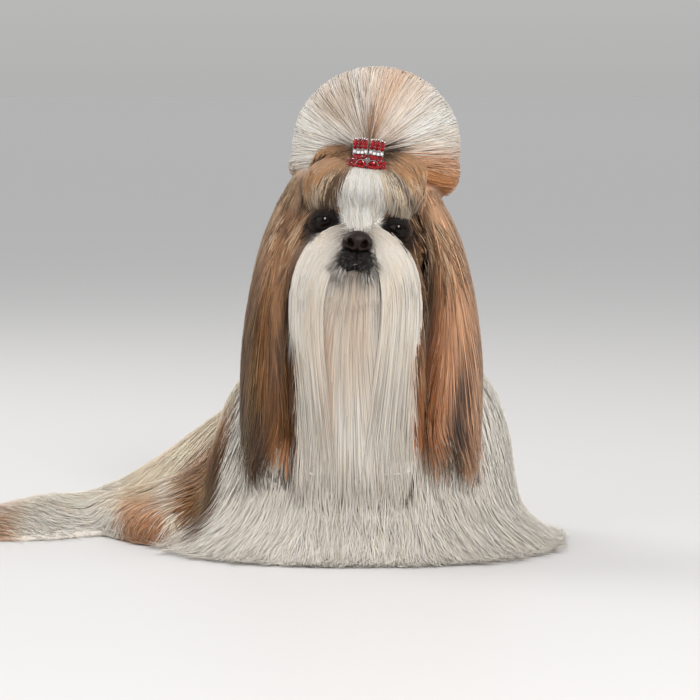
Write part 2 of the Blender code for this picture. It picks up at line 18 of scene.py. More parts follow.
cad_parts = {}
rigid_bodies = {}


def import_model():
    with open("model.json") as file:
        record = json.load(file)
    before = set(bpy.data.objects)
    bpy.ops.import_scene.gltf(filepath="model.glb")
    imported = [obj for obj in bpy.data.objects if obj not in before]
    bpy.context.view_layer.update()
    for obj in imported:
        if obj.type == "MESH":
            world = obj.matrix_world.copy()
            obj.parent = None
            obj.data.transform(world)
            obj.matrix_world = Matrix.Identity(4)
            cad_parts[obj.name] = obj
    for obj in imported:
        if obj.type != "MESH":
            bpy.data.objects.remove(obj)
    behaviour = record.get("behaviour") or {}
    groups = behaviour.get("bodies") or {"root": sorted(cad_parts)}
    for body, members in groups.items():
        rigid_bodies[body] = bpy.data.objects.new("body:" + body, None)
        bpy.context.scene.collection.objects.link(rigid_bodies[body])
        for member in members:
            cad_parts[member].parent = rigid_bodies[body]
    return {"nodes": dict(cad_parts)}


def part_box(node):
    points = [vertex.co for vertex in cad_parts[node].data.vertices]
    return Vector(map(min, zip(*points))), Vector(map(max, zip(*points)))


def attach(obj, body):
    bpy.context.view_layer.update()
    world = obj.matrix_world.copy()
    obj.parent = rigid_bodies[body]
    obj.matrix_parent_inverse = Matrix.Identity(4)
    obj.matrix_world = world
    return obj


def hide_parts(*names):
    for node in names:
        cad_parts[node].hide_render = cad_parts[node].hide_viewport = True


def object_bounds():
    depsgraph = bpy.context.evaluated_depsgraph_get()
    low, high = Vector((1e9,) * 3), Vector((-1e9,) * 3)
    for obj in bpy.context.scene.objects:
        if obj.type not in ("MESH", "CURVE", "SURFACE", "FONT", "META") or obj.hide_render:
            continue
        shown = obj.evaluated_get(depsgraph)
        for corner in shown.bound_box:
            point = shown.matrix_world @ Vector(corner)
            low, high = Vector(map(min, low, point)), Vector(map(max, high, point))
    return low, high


for startup in list(bpy.data.objects):
    bpy.data.objects.remove(startup)
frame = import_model()
CAD_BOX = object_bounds()
NODES = frame["nodes"]

# The head's own frame: its origin is midway between the pupils, +Y runs to the back of the skull.
HEAD = Matrix.Translation((0.0, -0.015, 0.2505)) @ Matrix.Rotation(radians(6), 4, "Y")
EYE_DEPTH = 0.0035
EYE_RADIUS = 0.0105
PUPIL_SPACING = 0.057
LIP_BARE = (0.0155, 0.0125)
BARRETTE = np.array((0.006, -0.0135, 0.3065))

# The spine runs level from the withers to the tail base.
WITHERS = np.array((0.020, 0.050, 0.0))
BACK = np.array((-0.9029, 0.4299, 0.0))
LEFT = np.array((0.4299, 0.9029, 0.0))
UP = np.array((0.0, 0.0, 1.0))

FLESH = ("head", "forehead", "muzzle", "neck", "chest", "trunk", "rump", "tail")
LEGS = ("foreleg_left", "foreleg_right", "hind_leg_left", "hind_leg_right")
HAIR = ("topknot", "beard", "ear_left", "ear_right")

# The CAD's solids are joined into one surface: the cell's size for the whole dog and for the rougher
# body, how far solids swell to overlap, how near corners are one, and how often it is softened.
VOXEL = 0.0028
BODY_VOXEL = 0.0040
SEAL = 0.0004
MERGED = 1e-5
SOFTENING = 4

# How far the skin lies under the coat, how low hair may lie, and a lock's size on the coat's map.
COAT_DEPTH = 0.0024
LEAST_HEIGHT = 0.0006
PATCH = 0.003

# Where the chest's coat is parted into two pieces.
CHEST_MIDDLE = -0.002

# How bright the surround is at the horizon.
HORIZON = 0.455

# A lock is a flat three-sided sliver, shaded partly as the round bundle of hairs that it stands for.
FLATNESS = 0.32
ROUNDNESS = 0.22

# How far hair may lie past the CAD box before it is eased back.
PAST_BOX = 0.013

# Hair whose outward direction points further down than this is lit as if it faced the side.
STEEPEST = -0.2

# How much stronger the coat's colours are than the markings, and the brightest that they may be.
VIVID = 1.22
BRIGHTEST = 0.93

# The strands of the brow fan out from under the slides: where they start, a level for naming them,
# and how far they sag over the eyes.
BROW_START = (0.004, 0.302)
BROW_LEVEL = 0.030
BROW_SAG = np.array((0.0, -0.0040, -0.0115))

# Where the painted shadow in the hollow beside the slides is deepest, on the dog's left and on its right.
HOLLOW = np.array((0.0220, -0.0135, 0.3040))
HOLLOW_RIGHT = np.array((-0.0125, -0.0135, 0.3075))


def eye_middle():
    """The point midway between the two eyes in the model's frame."""
    corners = [corner for name in ("eye_left", "eye_right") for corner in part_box(name)]
    return sum(corners, Vector((0, 0, 0))) / len(corners)


SHIFT = np.array(eye_middle() - HEAD @ Vector((0, EYE_DEPTH, 0)))


def tone(red, green, blue):
    """A linear colour from three display values out of 255."""
    shares = np.array((red, green, blue)) / 255.0
    return np.where(shares <= 0.04045, shares / 12.92, ((shares + 0.055) / 1.055) ** 2.4)


WHITE = (241, 235, 225)
CREAM = (232, 220, 205)
LIGHT_GOLD = (250, 229, 204)
GOLD = (172, 120, 82)
DARK = (56, 37, 27)
BLACK = (15, 11, 10)
SHADOW = (26, 15, 10)


def smooth(value, low, high):
    """0 at low, 1 at high, eased between them."""
    share = np.clip((value - low) / (high - low), 0.0, 1.0)
    return share * share * (3 - 2 * share)


def bump(value, middle, width):
    """1 at the middle, falling to 0 on both sides over a width."""
    return np.exp(-(((value - middle) / width) ** 2))


def unit(vectors):
    return vectors / np.maximum(np.linalg.norm(vectors, axis=-1, keepdims=True), 1e-9)


def dot(first, second):
    return np.sum(first * second, axis=-1, keepdims=True)


def noise(points, scale, seed):
    """Smooth noise between 0 and 1, from random values at the corners of a grid."""
    place = points / scale
    cell = np.floor(place).astype(np.int64)
    part = place - cell
    part = part * part * (3 - 2 * part)
    total = np.zeros(len(points))
    for corner in product((0, 1), repeat=3):
        spot = cell + np.array(corner)
        key = spot[:, 0] * 73856093 ^ spot[:, 1] * 19349663 ^ spot[:, 2] * 83492791 ^ seed * 7919
        key = (key ^ (key >> 13)) * 1274126177
        key = key ^ (key >> 16)
        weight = np.prod(np.where(corner, part, 1 - part), axis=1)
        total += weight * ((key >> 4) & 0xFFFF) / 65535.0
    return total


def layered(base, *layers):
    """A base colour with others laid over it, each by its share at every point."""
    colour = tone(*base) if isinstance(base, tuple) else base
    for over, share in layers:
        shade = tone(*over) if isinstance(over, tuple) else over
        colour = colour + (shade - colour) * share[..., None]
    return colour


def woven(seed, first, second, third=0.0):
    """Smooth noise between 0 and 1 over two or three measures of each point."""
    return noise(np.stack([first, second, third + 0 * first], axis=1), 1.0, seed)


def in_head(points):
    """Points of the dog's frame in the head's own frame."""
    back = np.array(HEAD.inverted())
    return points @ back[:3, :3].T + back[:3, 3]


def body_place(points):
    """How far back along the spine and how far to the dog's left of it points are."""
    reach = points - WITHERS
    return reach @ BACK, reach @ LEFT


def placed(name, data):
    """A new object in the scene."""
    made = bpy.data.objects.new(name, data)
    bpy.context.scene.collection.objects.link(made)
    return made


def mesh_of(work, name):
    """The mesh that a bmesh holds."""
    mesh = bpy.data.meshes.new(name)
    work.to_mesh(mesh)
    work.free()
    return mesh


def remeshed(mesh, voxel, rounds):
    """Overlapping solids as one closed surface, softened a number of times."""
    shape = placed("shape", mesh)
    join = shape.modifiers.new("join", "REMESH")
    join.mode = "VOXEL"
    join.voxel_size = voxel
    soften = shape.modifiers.new("soften", "SMOOTH")
    soften.factor = 0.5
    soften.iterations = rounds
    bpy.context.view_layer.update()
    graph = bpy.context.evaluated_depsgraph_get()
    made = bpy.data.meshes.new_from_object(shape.evaluated_get(graph))
    bpy.data.objects.remove(shape)
    return made


def read_rows(items, key, width, kind=np.float32):
    """A property of a mesh's items, one row each."""
    flat = np.empty(len(items) * width, kind)
    items.foreach_get(key, flat)
    return flat.reshape(-1, width)


def write_rows(items, key, rows, kind=np.float32):
    """Sets a property of a mesh's items from one row each."""
    items.foreach_set(key, np.asarray(rows).astype(kind).reshape(-1))


def registered(piece, stands_for=()):
    """A piece that rides with the body and the nodes that it replaces."""
    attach(piece, "root")
    if stands_for:
        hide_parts(*stands_for)
    return piece


def nearest_on(tree, points):
    """The spot of a tree of faces that is nearest to each point, and its face."""
    spots = np.empty((len(points), 3))
    index = np.empty(len(points), np.int64)
    for row, point in enumerate(points.tolist()):
        spots[row], _, index[row], _ = tree.find_nearest(point)
    return spots, index


class Surface:
    """A closed surface that locks are planted on and follow."""

    def __init__(self, names, voxel):
        work = bmesh.new()
        for name in names:
            piece = bmesh.new()
            piece.from_mesh(NODES[name].data)
            bmesh.ops.remove_doubles(piece, verts=piece.verts, dist=MERGED)
            piece.normal_update()
            for vert in piece.verts:
                vert.co += vert.normal * SEAL
            sealed = mesh_of(piece, "sealed")
            work.from_mesh(sealed)
            bpy.data.meshes.remove(sealed)
        joined = mesh_of(work, "joined")
        joined.transform(Matrix.Translation(-Vector(SHIFT)))
        self.mesh = mesh = remeshed(joined, voxel, SOFTENING)
        mesh.calc_loop_triangles()
        self.points = read_rows(mesh.vertices, "co", 3).astype(float)
        self.vertex_normals = read_rows(mesh.vertex_normals, "vector", 3).astype(float)
        self.faces = read_rows(mesh.loop_triangles, "vertices", 3, np.int32)
        corners = self.points[self.faces]
        self.centres = corners.mean(axis=1)
        cross = np.cross(corners[:, 1] - corners[:, 0], corners[:, 2] - corners[:, 0])
        self.areas = np.linalg.norm(cross, axis=1) / 2
        self.normals = unit(self.vertex_normals[self.faces].mean(axis=1))
        self.tree = BVHTree.FromPolygons(self.points.tolist(), self.faces.tolist())

    def nearest(self, points):
        """The nearest spots of the surface and their outward directions."""
        feet, index = nearest_on(self.tree, points)
        return feet, self.normals[index]

    def scatter(self, count, density, chance):
        """Spots spread over the surface in proportion to a density given for each face."""
        weights = np.cumsum(self.areas * density)
        places = (np.arange(count) + chance.random(count)) / count * weights[-1]
        chosen = np.minimum(np.searchsorted(weights, places), len(self.faces) - 1)
        shares = chance.random((count, 2))
        over = shares.sum(axis=1) > 1
        shares[over] = 1 - shares[over]
        a, b, c = (self.points[self.faces[chosen, k]] for k in range(3))
        order = chance.permutation(count)
        return (a + (b - a) * shares[:, :1] + (c - a) * shares[:, 1:])[order]


def nodes_near(points):
    """The index in ALL_NODES of the CAD node nearest to each point."""
    return NODE_OF_FACE[nearest_on(NODE_TREE, points)[1]]


ALL_NODES = (*FLESH, *LEGS, *HAIR)


def node_faces():
    """A tree of the faces of the CAD nodes that the coat covers, and the node of each face."""
    corners, faces, owners = [], [], []
    for number, name in enumerate(ALL_NODES):
        first = len(corners)
        data = NODES[name].data
        corners.extend((np.array(vert.co) - SHIFT).tolist() for vert in data.vertices)
        faces.extend([first + index for index in face.vertices] for face in data.polygons)
        owners.extend([number] * len(data.polygons))
    return BVHTree.FromPolygons(corners, faces), np.array(owners)


NODE_TREE, NODE_OF_FACE = node_faces()


def marked(labels, *names):
    """1 where a label is one of these nodes, else 0."""
    return np.isin(labels, [ALL_NODES.index(name) for name in names]).astype(float)


# Markings


def body_colour(points):
    """White front and skirt, a brown saddle on each flank, gold back, orange thigh and pale tail."""
    along, aside = body_place(points)
    off = np.abs(aside)
    x, height = points[:, 0], points[:, 2]
    patchy = noise(points, 0.018, 5) - 0.5
    fine = noise(points, 0.006, 6) - 0.5
    line = along + 0.010 * patchy
    behind = smooth(line, 0.083, 0.091)
    streak_line = np.interp(off, (0.076, 0.124, 0.134), (0.160, 0.132, 0.113))
    upper = 0.104 - 0.89 * (line - 0.094)
    flank = behind * smooth(line, streak_line, streak_line - 0.010)
    flank = flank * smooth(height, upper + 0.010, upper - 0.012)
    darkest = flank * bump(line, 0.098, 0.022) * smooth(height, 0.095, 0.060) * smooth(height, 0.008, 0.018)
    hip = smooth(line, 0.128, 0.150) * smooth(off, 0.050, 0.090) * smooth(height, 0.060, 0.035)
    thigh = smooth(line, 0.122, 0.134) * smooth(line, 0.200, 0.160) * smooth(off, 0.096, 0.112)
    streak = bump(along, streak_line, 0.0058) * smooth(off, 0.066, 0.080) * smooth(aside, 0.02, -0.02)
    spine = smooth(line, 0.088, 0.10) * smooth(off, 0.062, 0.030)
    skirt = smooth(height, 0.085, 0.030) * smooth(along, 0.085, 0.060)
    tail = smooth(x, -0.186, -0.200)
    under = tail * smooth(height + 0.006 * patchy, 0.026, 0.015) * smooth(x, -0.276, -0.256)
    return layered(
        WHITE,
        (LIGHT_GOLD, behind * smooth(height + 0.012 * patchy, 0.012, 0.030)),
        ((144, 100, 66), flank * smooth(height, 0.006, 0.016)),
        (DARK, np.clip(0.90 * darkest + 0.50 * flank * fine, 0, 1)),
        ((226, 196, 164), hip * smooth(line, 0.215, 0.180) * 0.8),
        ((204, 158, 124), thigh * smooth(height, 0.004, 0.010)),
        ((156, 104, 72), thigh * smooth(height, 0.028, 0.018) * 0.7),
        (CREAM, np.clip(streak * 1.3, 0, 1)),
        ((236, 212, 186), spine * 0.5),
        ((222, 216, 206), skirt * 0.6),
        ((240, 226, 208), tail),
        (WHITE, under),
        (GOLD, tail * smooth(x, -0.262, -0.285) * smooth(height, 0.028, 0.018) * 0.75),
    )


def knot_colour(points):
    """White on the dog's right of the parting, tan on its left with a pale patch, orange below, and painted
    shadow beside the slides.
    """
    across = points[:, 0] - BARRETTE[0]
    rise = points[:, 2] - BARRETTE[2]
    reach = np.hypot(across, rise)
    turn = np.degrees(np.arctan2(rise, across))
    streaky = woven(11, turn / 7.0, reach / 0.05) - 0.5
    turn = turn + 14 * streaky
    left = np.clip(smooth(np.abs(turn - 180), 96, 82) + smooth(np.abs(turn + 180), 96, 82), 0, 1)
    right = 1 - left
    blotch = bump(turn, 132, 16) * bump(reach, 0.040, 0.022)
    peach = bump(turn, 66, 12) * smooth(reach, 0.030, 0.050)
    peach = peach + bump(turn, 76, 12) * smooth(reach, 0.050, 0.025)
    low = right * smooth(turn, 2, -14)
    near = smooth(reach, 0.040, 0.012)
    lean = points[:, 0] - 0.0060 - 0.10 * rise * np.sin(rise / 0.010)
    parting = np.maximum(bump(lean, -0.0042 * rise / 0.06, 0.0008), bump(lean, 0.0040 * rise / 0.06, 0.0007))
    return layered(
        (240, 233, 224),
        ((178, 154, 132), left * np.clip(streaky * 1.2 + 0.5 * blotch, 0, 0.8)),
        ((230, 213, 198), right),
        ((214, 170, 138), np.clip(right * peach, 0, 1) * (0.35 + 0.65 * smooth(streaky, -0.2, 0.2))),
        ((246, 240, 232), right * bump(turn, 26, 22) * smooth(reach, 0.022, 0.034)),
        ((158, 124, 96), left * smooth(rise, -0.008, -0.015) * 0.85),
        ((194, 136, 97), low),
        ((164, 105, 67), low * smooth(turn, -24, -52) * 0.8),
        ((150, 118, 96), near * bump(turn, 86, 24) * 0.8),
        # Painted shadow: near-black low beside the slides on the dog's left, where the slides shade the hair.
        ((46, 26, 16), near * right * smooth(turn, 34, 0) * smooth(reach, 0.036, 0.018)),
        ((84, 62, 50), parting * smooth(rise, 0.006, 0.014) * 0.75),
        (SHADOW, hollow(points) * smooth(points[:, 1], 0.02, 0.0) * 0.92),
        ((214, 190, 164), smooth(points[:, 1], 0.045, 0.065) * 0.6),
    )


def hollow(points):
    """1 in the shadow between the topknot and the brow beside the slides, deepest on the dog's left."""
    deepest = np.zeros(len(points))
    for middle, strength in ((HOLLOW, 1.0), (HOLLOW_RIGHT, 0.7)):
        reach = points - middle
        here = np.exp(-((reach[:, 0] / 0.0105) ** 2 + (reach[:, 2] / 0.0090) ** 2) ** 1.5)
        deepest = np.maximum(deepest, strength * here)
    return deepest


def brow_drop(points):
    """How far below the start of the brow's strands points are."""
    return np.maximum(BROW_START[1] - points[:, 2], 0.0) + 0.0015


def fan(points):
    """How far across the strand through each point crosses a level 30 mm below the slides."""
    return (points[:, 0] - BROW_START[0]) * np.sqrt(BROW_LEVEL / brow_drop(points))


def brow_colour(points):
    """A white blaze, dark on the dog's right of it, pale on its left up to a dark streak, tan outside, with
    painted shade under the puffs and painted shadow beside the slides.
    """
    strand = fan(points)
    height = points[:, 2]
    streak = woven(9, strand / 0.0014, height / 0.03)
    strand = strand + 0.004 * (woven(21, strand / 0.003, height / 0.02) - 0.5)
    drop = brow_drop(points)
    right = smooth(strand, -0.0175, -0.0225)
    left = smooth(strand, 0.0125, 0.0185)
    outside = np.maximum(right, left) * smooth(drop, 0.003, 0.010)
    top = smooth(drop, 0.018, 0.006) * smooth(np.abs(strand), 0.018, 0.030)
    # Painted shade along the lower edge of the puffs over the eyes, outside the blaze.
    under = smooth(height, 0.272, 0.258) * smooth(np.abs(strand + 0.003), 0.016, 0.024)
    colour = layered(
        (242, 238, 231),
        ((88, 68, 54), right),
        ((182, 138, 102), smooth(strand, -0.036, -0.045)),
        ((226, 213, 196), left),
        ((168, 148, 126), smooth(streak, 0.58, 0.80) * smooth(strand, -0.002, 0.008) * 0.55),
        ((198, 154, 118), smooth(strand, 0.0325, 0.0375)),
        ((72, 54, 44), bump(strand, 0.0312, 0.0026) * 0.85),
        ((74, 53, 40), smooth(streak, 0.56, 0.82) * (0.10 + 0.70 * outside)),
        ((226, 202, 176), smooth(streak, 0.36, 0.14) * 0.75 * outside),
        ((196, 156, 126), top * 0.75),
        (SHADOW, hollow(points) * 0.92),
    )
    # The puffs' lower edges are darkened here by that painted shade.
    return colour * (1 - 0.40 * under)[:, None]


def face_colour(points):
    """Brown cheeks, dark beside the eyes, white down the bridge and muzzle, gold and white behind."""
    place = in_head(points)
    x, y, z = place[:, 0], place[:, 1], place[:, 2]
    off = np.abs(x)
    edge = np.interp(z, (-0.100, -0.040, -0.017, -0.004, 0.006), (0.052, 0.045, 0.036, 0.027, 0.016))
    cheek = smooth(off, edge - 0.001, edge + 0.003)
    eye = np.hypot(off - PUPIL_SPACING / 2, z * 1.1)
    above = 1 - smooth(z, -0.006, -0.0095) * smooth(off, 0.034, 0.028)
    lips = np.hypot((x + 0.001) / LIP_BARE[0], (z + 0.0262) / LIP_BARE[1])
    nose = np.hypot((x + 0.001) / 0.0125, (z + 0.0105) / 0.0095)
    front = smooth(y, 0.01, 0.0)
    nape = layered((200, 158, 120), (WHITE, smooth(z, -0.005, -0.035)))
    return layered(
        (236, 231, 223),
        ((112, 80, 58), cheek),
        ((158, 116, 84), cheek * smooth(off, 0.044, 0.056)),
        ((24, 17, 14), cheek * bump(eye, 0.016, 0.007) * smooth(off, 0.024, 0.032) * 0.9),
        ((16, 12, 11), smooth(eye, 0.0150, 0.0115) * above),
        ((44, 37, 35), smooth(lips, 1.15, 0.95) * front),
        ((112, 102, 96), smooth(nose, 1.15, 0.9) * front),
        (nape, smooth(y, 0.026, 0.040)),
    )


def cheek_colour(points):
    """Long hair beside the eyes: cream and tan at the temples, dark brown towards the moustache."""
    place = in_head(points)
    off, high = np.abs(place[:, 0]), place[:, 2]
    streak = noise(points * np.array((1.0, 1.0, 0.08)), 0.0022, 57)
    inner = np.interp(high, (-0.100, -0.040, -0.017, -0.004), (0.054, 0.047, 0.037, 0.028))
    return layered(
        (150, 112, 84),
        ((212, 184, 156), smooth(streak, 0.50, 0.72) * smooth(high, -0.055, -0.010)),
        ((72, 50, 38), smooth(streak, 0.48, 0.25) * 0.8),
        ((58, 41, 32), smooth(off, inner + 0.004, inner) * 0.75),
    )


def beard_colour(points):
    """Cream white, warmer down the middle, grey painted shade just under the lips, and like the ears beyond
    its sides.
    """
    x, height = points[:, 0], points[:, 2]
    warm = noise(points * np.array((1.0, 1.0, 0.12)), 0.006, 31)
    middle = bump(x, -0.004, 0.015) * smooth(height, 0.10, 0.16) * smooth(height, 0.225, 0.20)
    # Painted shade: grey at the top of the chin, just under the lips that overhang it.
    chin = bump(x, -0.0045, 0.0140) * smooth(height, 0.2060, 0.2170)
    peach = bump(x, -0.0235, 0.0035) * smooth(height, 0.08, 0.12) * smooth(height, 0.21, 0.18)
    off = np.abs(x - BEARD_MIDDLE)
    ears = smooth(off, 0.0440, 0.0465) * smooth(height, 0.175, 0.155) * smooth(height, 0.070, 0.085)
    beside = np.where((x > 0)[:, None], left_ear_colour(points), right_ear_colour(points))
    return layered(
        (236, 229, 219),
        ((216, 197, 174), smooth(warm, 0.50, 0.95) * 0.55),
        ((208, 184, 164), middle * 0.6),
        ((112, 100, 94), chin * 0.85),
        ((214, 170, 142), peach * 0.55),
        (beside, ears),
    )


def ear_share(points):
    """0 at the outer edge of the ear's hair and 1 at its inner edge."""
    heights = (0.06, 0.10, 0.15, 0.20, 0.255, 0.284)
    inner = np.interp(points[:, 2], heights, (0.048, 0.048, 0.0495, 0.050, 0.045, 0.034))
    outer = np.interp(points[:, 2], heights, (0.091, 0.0935, 0.0935, 0.088, 0.072, 0.058))
    return (outer - np.abs(points[:, 0])) / (outer - inner)


def ear_measures(points, waver, seeds):
    """Height, wavering share across and fine streaks of the ear's hair."""
    share = ear_share(points) + waver * (noise(points * np.array((1.0, 1.0, 0.06)), 0.0035, seeds[0]) - 0.5)
    return points[:, 2], share, noise(points * np.array((1.0, 0.6, 0.05)), 0.0019, seeds[1])


def right_ear_colour(points):
    """Dark brown in streaks, paler at the top and at the outer edge."""
    height, share, streak = ear_measures(points, 0.16, (41, 46))
    low = smooth(height, 0.150, 0.085)
    top = smooth(height, 0.190, 0.245)
    return layered(
        (94, 59, 37),
        ((222, 190, 154), top * smooth(share, 0.75, 0.30) * smooth(streak, 0.25, 0.55)),
        ((78, 56, 38), bump(share, 0.24, 0.10) * (0.85 - 0.45 * top)),
        ((120, 80, 50), bump(share, 0.50, 0.16) * 0.85),
        ((70, 44, 28), smooth(share, 0.68, 0.90) * (1 - 0.6 * low) * 0.8),
        ((136, 114, 94), smooth(share, 0.22, 0.05) * 0.7),
        ((74, 58, 48), low * smooth(share, 0.62, 0.40) * 0.85),
        ((206, 146, 108), smooth(height, 0.098, 0.070) * smooth(share, 0.45, 0.70)),
        ((208, 186, 164), smooth(height, 0.250, 0.275) * smooth(share, 0.3, 0.7) * 0.6),
        ((184, 142, 104), smooth(streak, 0.62, 0.86) * (0.26 + 0.43 * top)),
        ((58, 40, 28), smooth(streak, 0.36, 0.14) * 0.60),
    )


def left_ear_colour(points):
    """Tan, red-brown towards the beard, with a dark stripe in its lower half."""
    height, share, streak = ear_measures(points, 0.14, (43, 47))
    low = smooth(height, 0.150, 0.095)
    top = smooth(height, 0.200, 0.250)
    middle = bump(height, 0.145, 0.060)
    stripe = np.interp(height, (0.06, 0.09, 0.15, 0.19), (0.46, 0.40, 0.30, 0.26))
    wide = np.interp(height, (0.075, 0.160), (0.22, 0.12))
    dark = np.exp(-(((share - stripe) / wide) ** 4)) * smooth(height, 0.185, 0.130)
    return layered(
        (204, 153, 122),
        ((222, 180, 148), top * 0.8),
        ((206, 160, 130), bump(share, 0.30, 0.14) * 0.7),
        ((156, 94, 60), smooth(share, 0.50, 0.85) * (0.30 + 0.55 * middle)),
        ((160, 134, 116), smooth(share, 0.20, 0.04) * 0.8),
        ((50, 40, 36), dark * 0.95),
        ((142, 88, 56), low * smooth(share, 0.62, 0.82) * 0.7),
        ((196, 144, 108), smooth(height, 0.090, 0.070) * smooth(share, 0.66, 0.90) * 0.8),
        ((222, 186, 156), smooth(streak, 0.66, 0.86) * 0.5),
        ((92, 60, 42), smooth(streak, 0.30, 0.12) * 0.5),
    )


def back_colour(points):
    """The body's markings, and the ears' own where the coat lies on their backs."""
    colour = body_colour(points)
    labels = nodes_near(points)
    for name, paint in (("ear_right", right_ear_colour), ("ear_left", left_ear_colour)):
        here = (marked(labels, name) > 0) & (points[:, 2] > 0.11)
        colour[here] = paint(points[here])
    return colour


def skin_colour(points, labels):
    """The coat's markings on the skin under it."""
    colour = body_colour(points)
    for names, paint in (
        (("topknot",), knot_colour),
        (("forehead",), brow_colour),
        (("head", "muzzle"), face_colour),
        (("beard",), beard_colour),
        (("ear_right",), right_ear_colour),
        (("ear_left",), left_ear_colour),
    ):
        here = marked(labels, *names) > 0
        colour[here] = paint(points[here])
    ends = marked(labels, *HAIR) * smooth(points[:, 2] + 0.02 * noise(points, 0.006, 77), 0.088, 0.078)
    return layered(colour, (WHITE, ends))


# Planting


def grow(surface, roots, heading, lengths, steps, chance, bury=0.004, lift=0.001, wander=0.12, hem=None):
    """Lays a lock from each root along the surface, and past the hem lets it run on by itself."""
    spot, normals = surface.nearest(roots)
    count = len(roots)
    paths = np.empty((count, steps, 3))
    sides = np.empty((count, steps, 3))
    paths[:, 0] = spot - normals * bury
    sides[:, 0] = normals
    turn = chance.normal(0, wander, count)
    wave = chance.normal(0, wander * 0.5, count)
    phase = chance.uniform(0, 2 * pi, count)
    rise = lift * chance.uniform(-1.2, 1.0, count)
    going = None
    for step in range(1, steps):
        share = step / (steps - 1)
        want = heading(spot, normals, share)
        want = unit(want - normals * dot(want, normals))
        angle = (turn + wave * np.sin(phase + 4 * share))[:, None]
        want = want * np.cos(angle) + np.cross(normals, want) * np.sin(angle)
        going = want if going is None else unit(0.45 * going + 0.55 * want)
        ahead = spot + going * (lengths / (steps - 1))[:, None]
        feet, out = surface.nearest(ahead)
        loose = np.zeros(count, bool) if hem is None else hem(ahead, out)
        keep = loose[:, None]
        spot = np.where(keep, ahead, feet)
        normals = np.where(keep, normals, out)
        height = -bury * (1 - share) ** 3 + rise * min(1.0, 2.0 * share)
        made = spot + normals * height[:, None]
        made[:, 2] = np.maximum(made[:, 2], LEAST_HEIGHT + 0.0015 * (phase / (2 * pi)))
        spot[:, 2] = np.maximum(spot[:, 2], LEAST_HEIGHT)
        paths[:, step] = made
        sides[:, step] = normals
    return paths, sides


def gathered(paths, spacing, pull, chance):
    """Draws locks towards the tips of leaders a spacing apart, so that the coat parts into strands."""
    roots = paths[:, 0]
    cells = {}
    for index, cell in enumerate(map(tuple, np.floor(roots / spacing).astype(int))):
        cells.setdefault(cell, index)
    leaders = np.array(sorted(cells.values()))
    tree = KDTree(len(leaders))
    for index in leaders:
        tree.insert(roots[index], int(index))
    tree.balance()
    nearest = np.array([tree.find(root)[1] for root in roots.tolist()])
    shares = np.linspace(0, 1, paths.shape[1])[None, :, None]
    draw = pull * chance.uniform(0.4, 1.0, len(paths))[:, None, None] * shares**1.4
    offset = (roots - roots[nearest])[:, None, :]
    return paths + draw * (paths[nearest] + offset * (1 - 0.75 * shares) - paths)


def thickness(chance, count, usual, widest=1.25):
    """A width for each lock, from six tenths of the usual one up to the widest share of it."""
    return usual * chance.uniform(0.6, widest, count)


def eased_in(paths):
    """Eases back what lies far past the CAD box."""
    low, high = (np.array(corner) - SHIFT for corner in CAD_BOX)
    low[2] -= 1.0
    over = np.maximum(paths - high, 0)
    under = np.maximum(low - paths, 0)
    reach = PAST_BOX * (0.3 + 0.7 * noise(paths[:, 0], 0.004, 91))[:, None, None]
    return np.clip(paths, low, high) + reach * (np.tanh(over / reach) - np.tanh(under / reach))


def straightened(paths, rounds):
    """Smooths each path between its ends."""
    made = paths.copy()
    for _ in range(rounds):
        made[:, 1:-1] = 0.5 * made[:, 1:-1] + 0.25 * (made[:, :-2] + made[:, 2:])
    return made


def kept_out(paths, surface, clearance):
    """Moves what has sunk into another surface back out of it."""
    flat = paths.reshape(-1, 3)
    feet, normals = surface.nearest(flat)
    depth = clearance - np.sum((flat - feet) * normals, axis=1)
    pushed = flat + normals * np.clip(depth, 0, 0.03)[:, None]
    return pushed.reshape(paths.shape)


def turned_up(sides, paths):
    """Turns directions that point down away from the middle of the body, as light reaches under hair."""
    down = np.clip(STEEPEST - sides[..., 2:], 0, 1)
    return unit(sides + 4.0 * down * level(paths - WITHERS))


def coloured(mesh, colours):
    """Stores a colour at each vertex, as the coat's and the skin's materials read it."""
    rgba = np.ones((len(colours), 4), np.float32)
    rgba[:, :3] = colours
    write_rows(mesh.color_attributes.new("coat", "FLOAT_COLOR", "POINT").data, "color", rgba)


def lock_faces(steps):
    """Corners of the faces of one lock: three sides of squares, a closed root and a pointed tip."""
    quads = []
    for step in range(steps - 2):
        for corner in range(3):
            after = (corner + 1) % 3
            quads.append((step * 3 + corner, step * 3 + after, step * 3 + 3 + after, step * 3 + 3 + corner))
    last = (steps - 2) * 3
    triangles = [(last + corner, last + (corner + 1) % 3, last + 3) for corner in range(3)]
    return quads + [(0, 2, 1)] + triangles


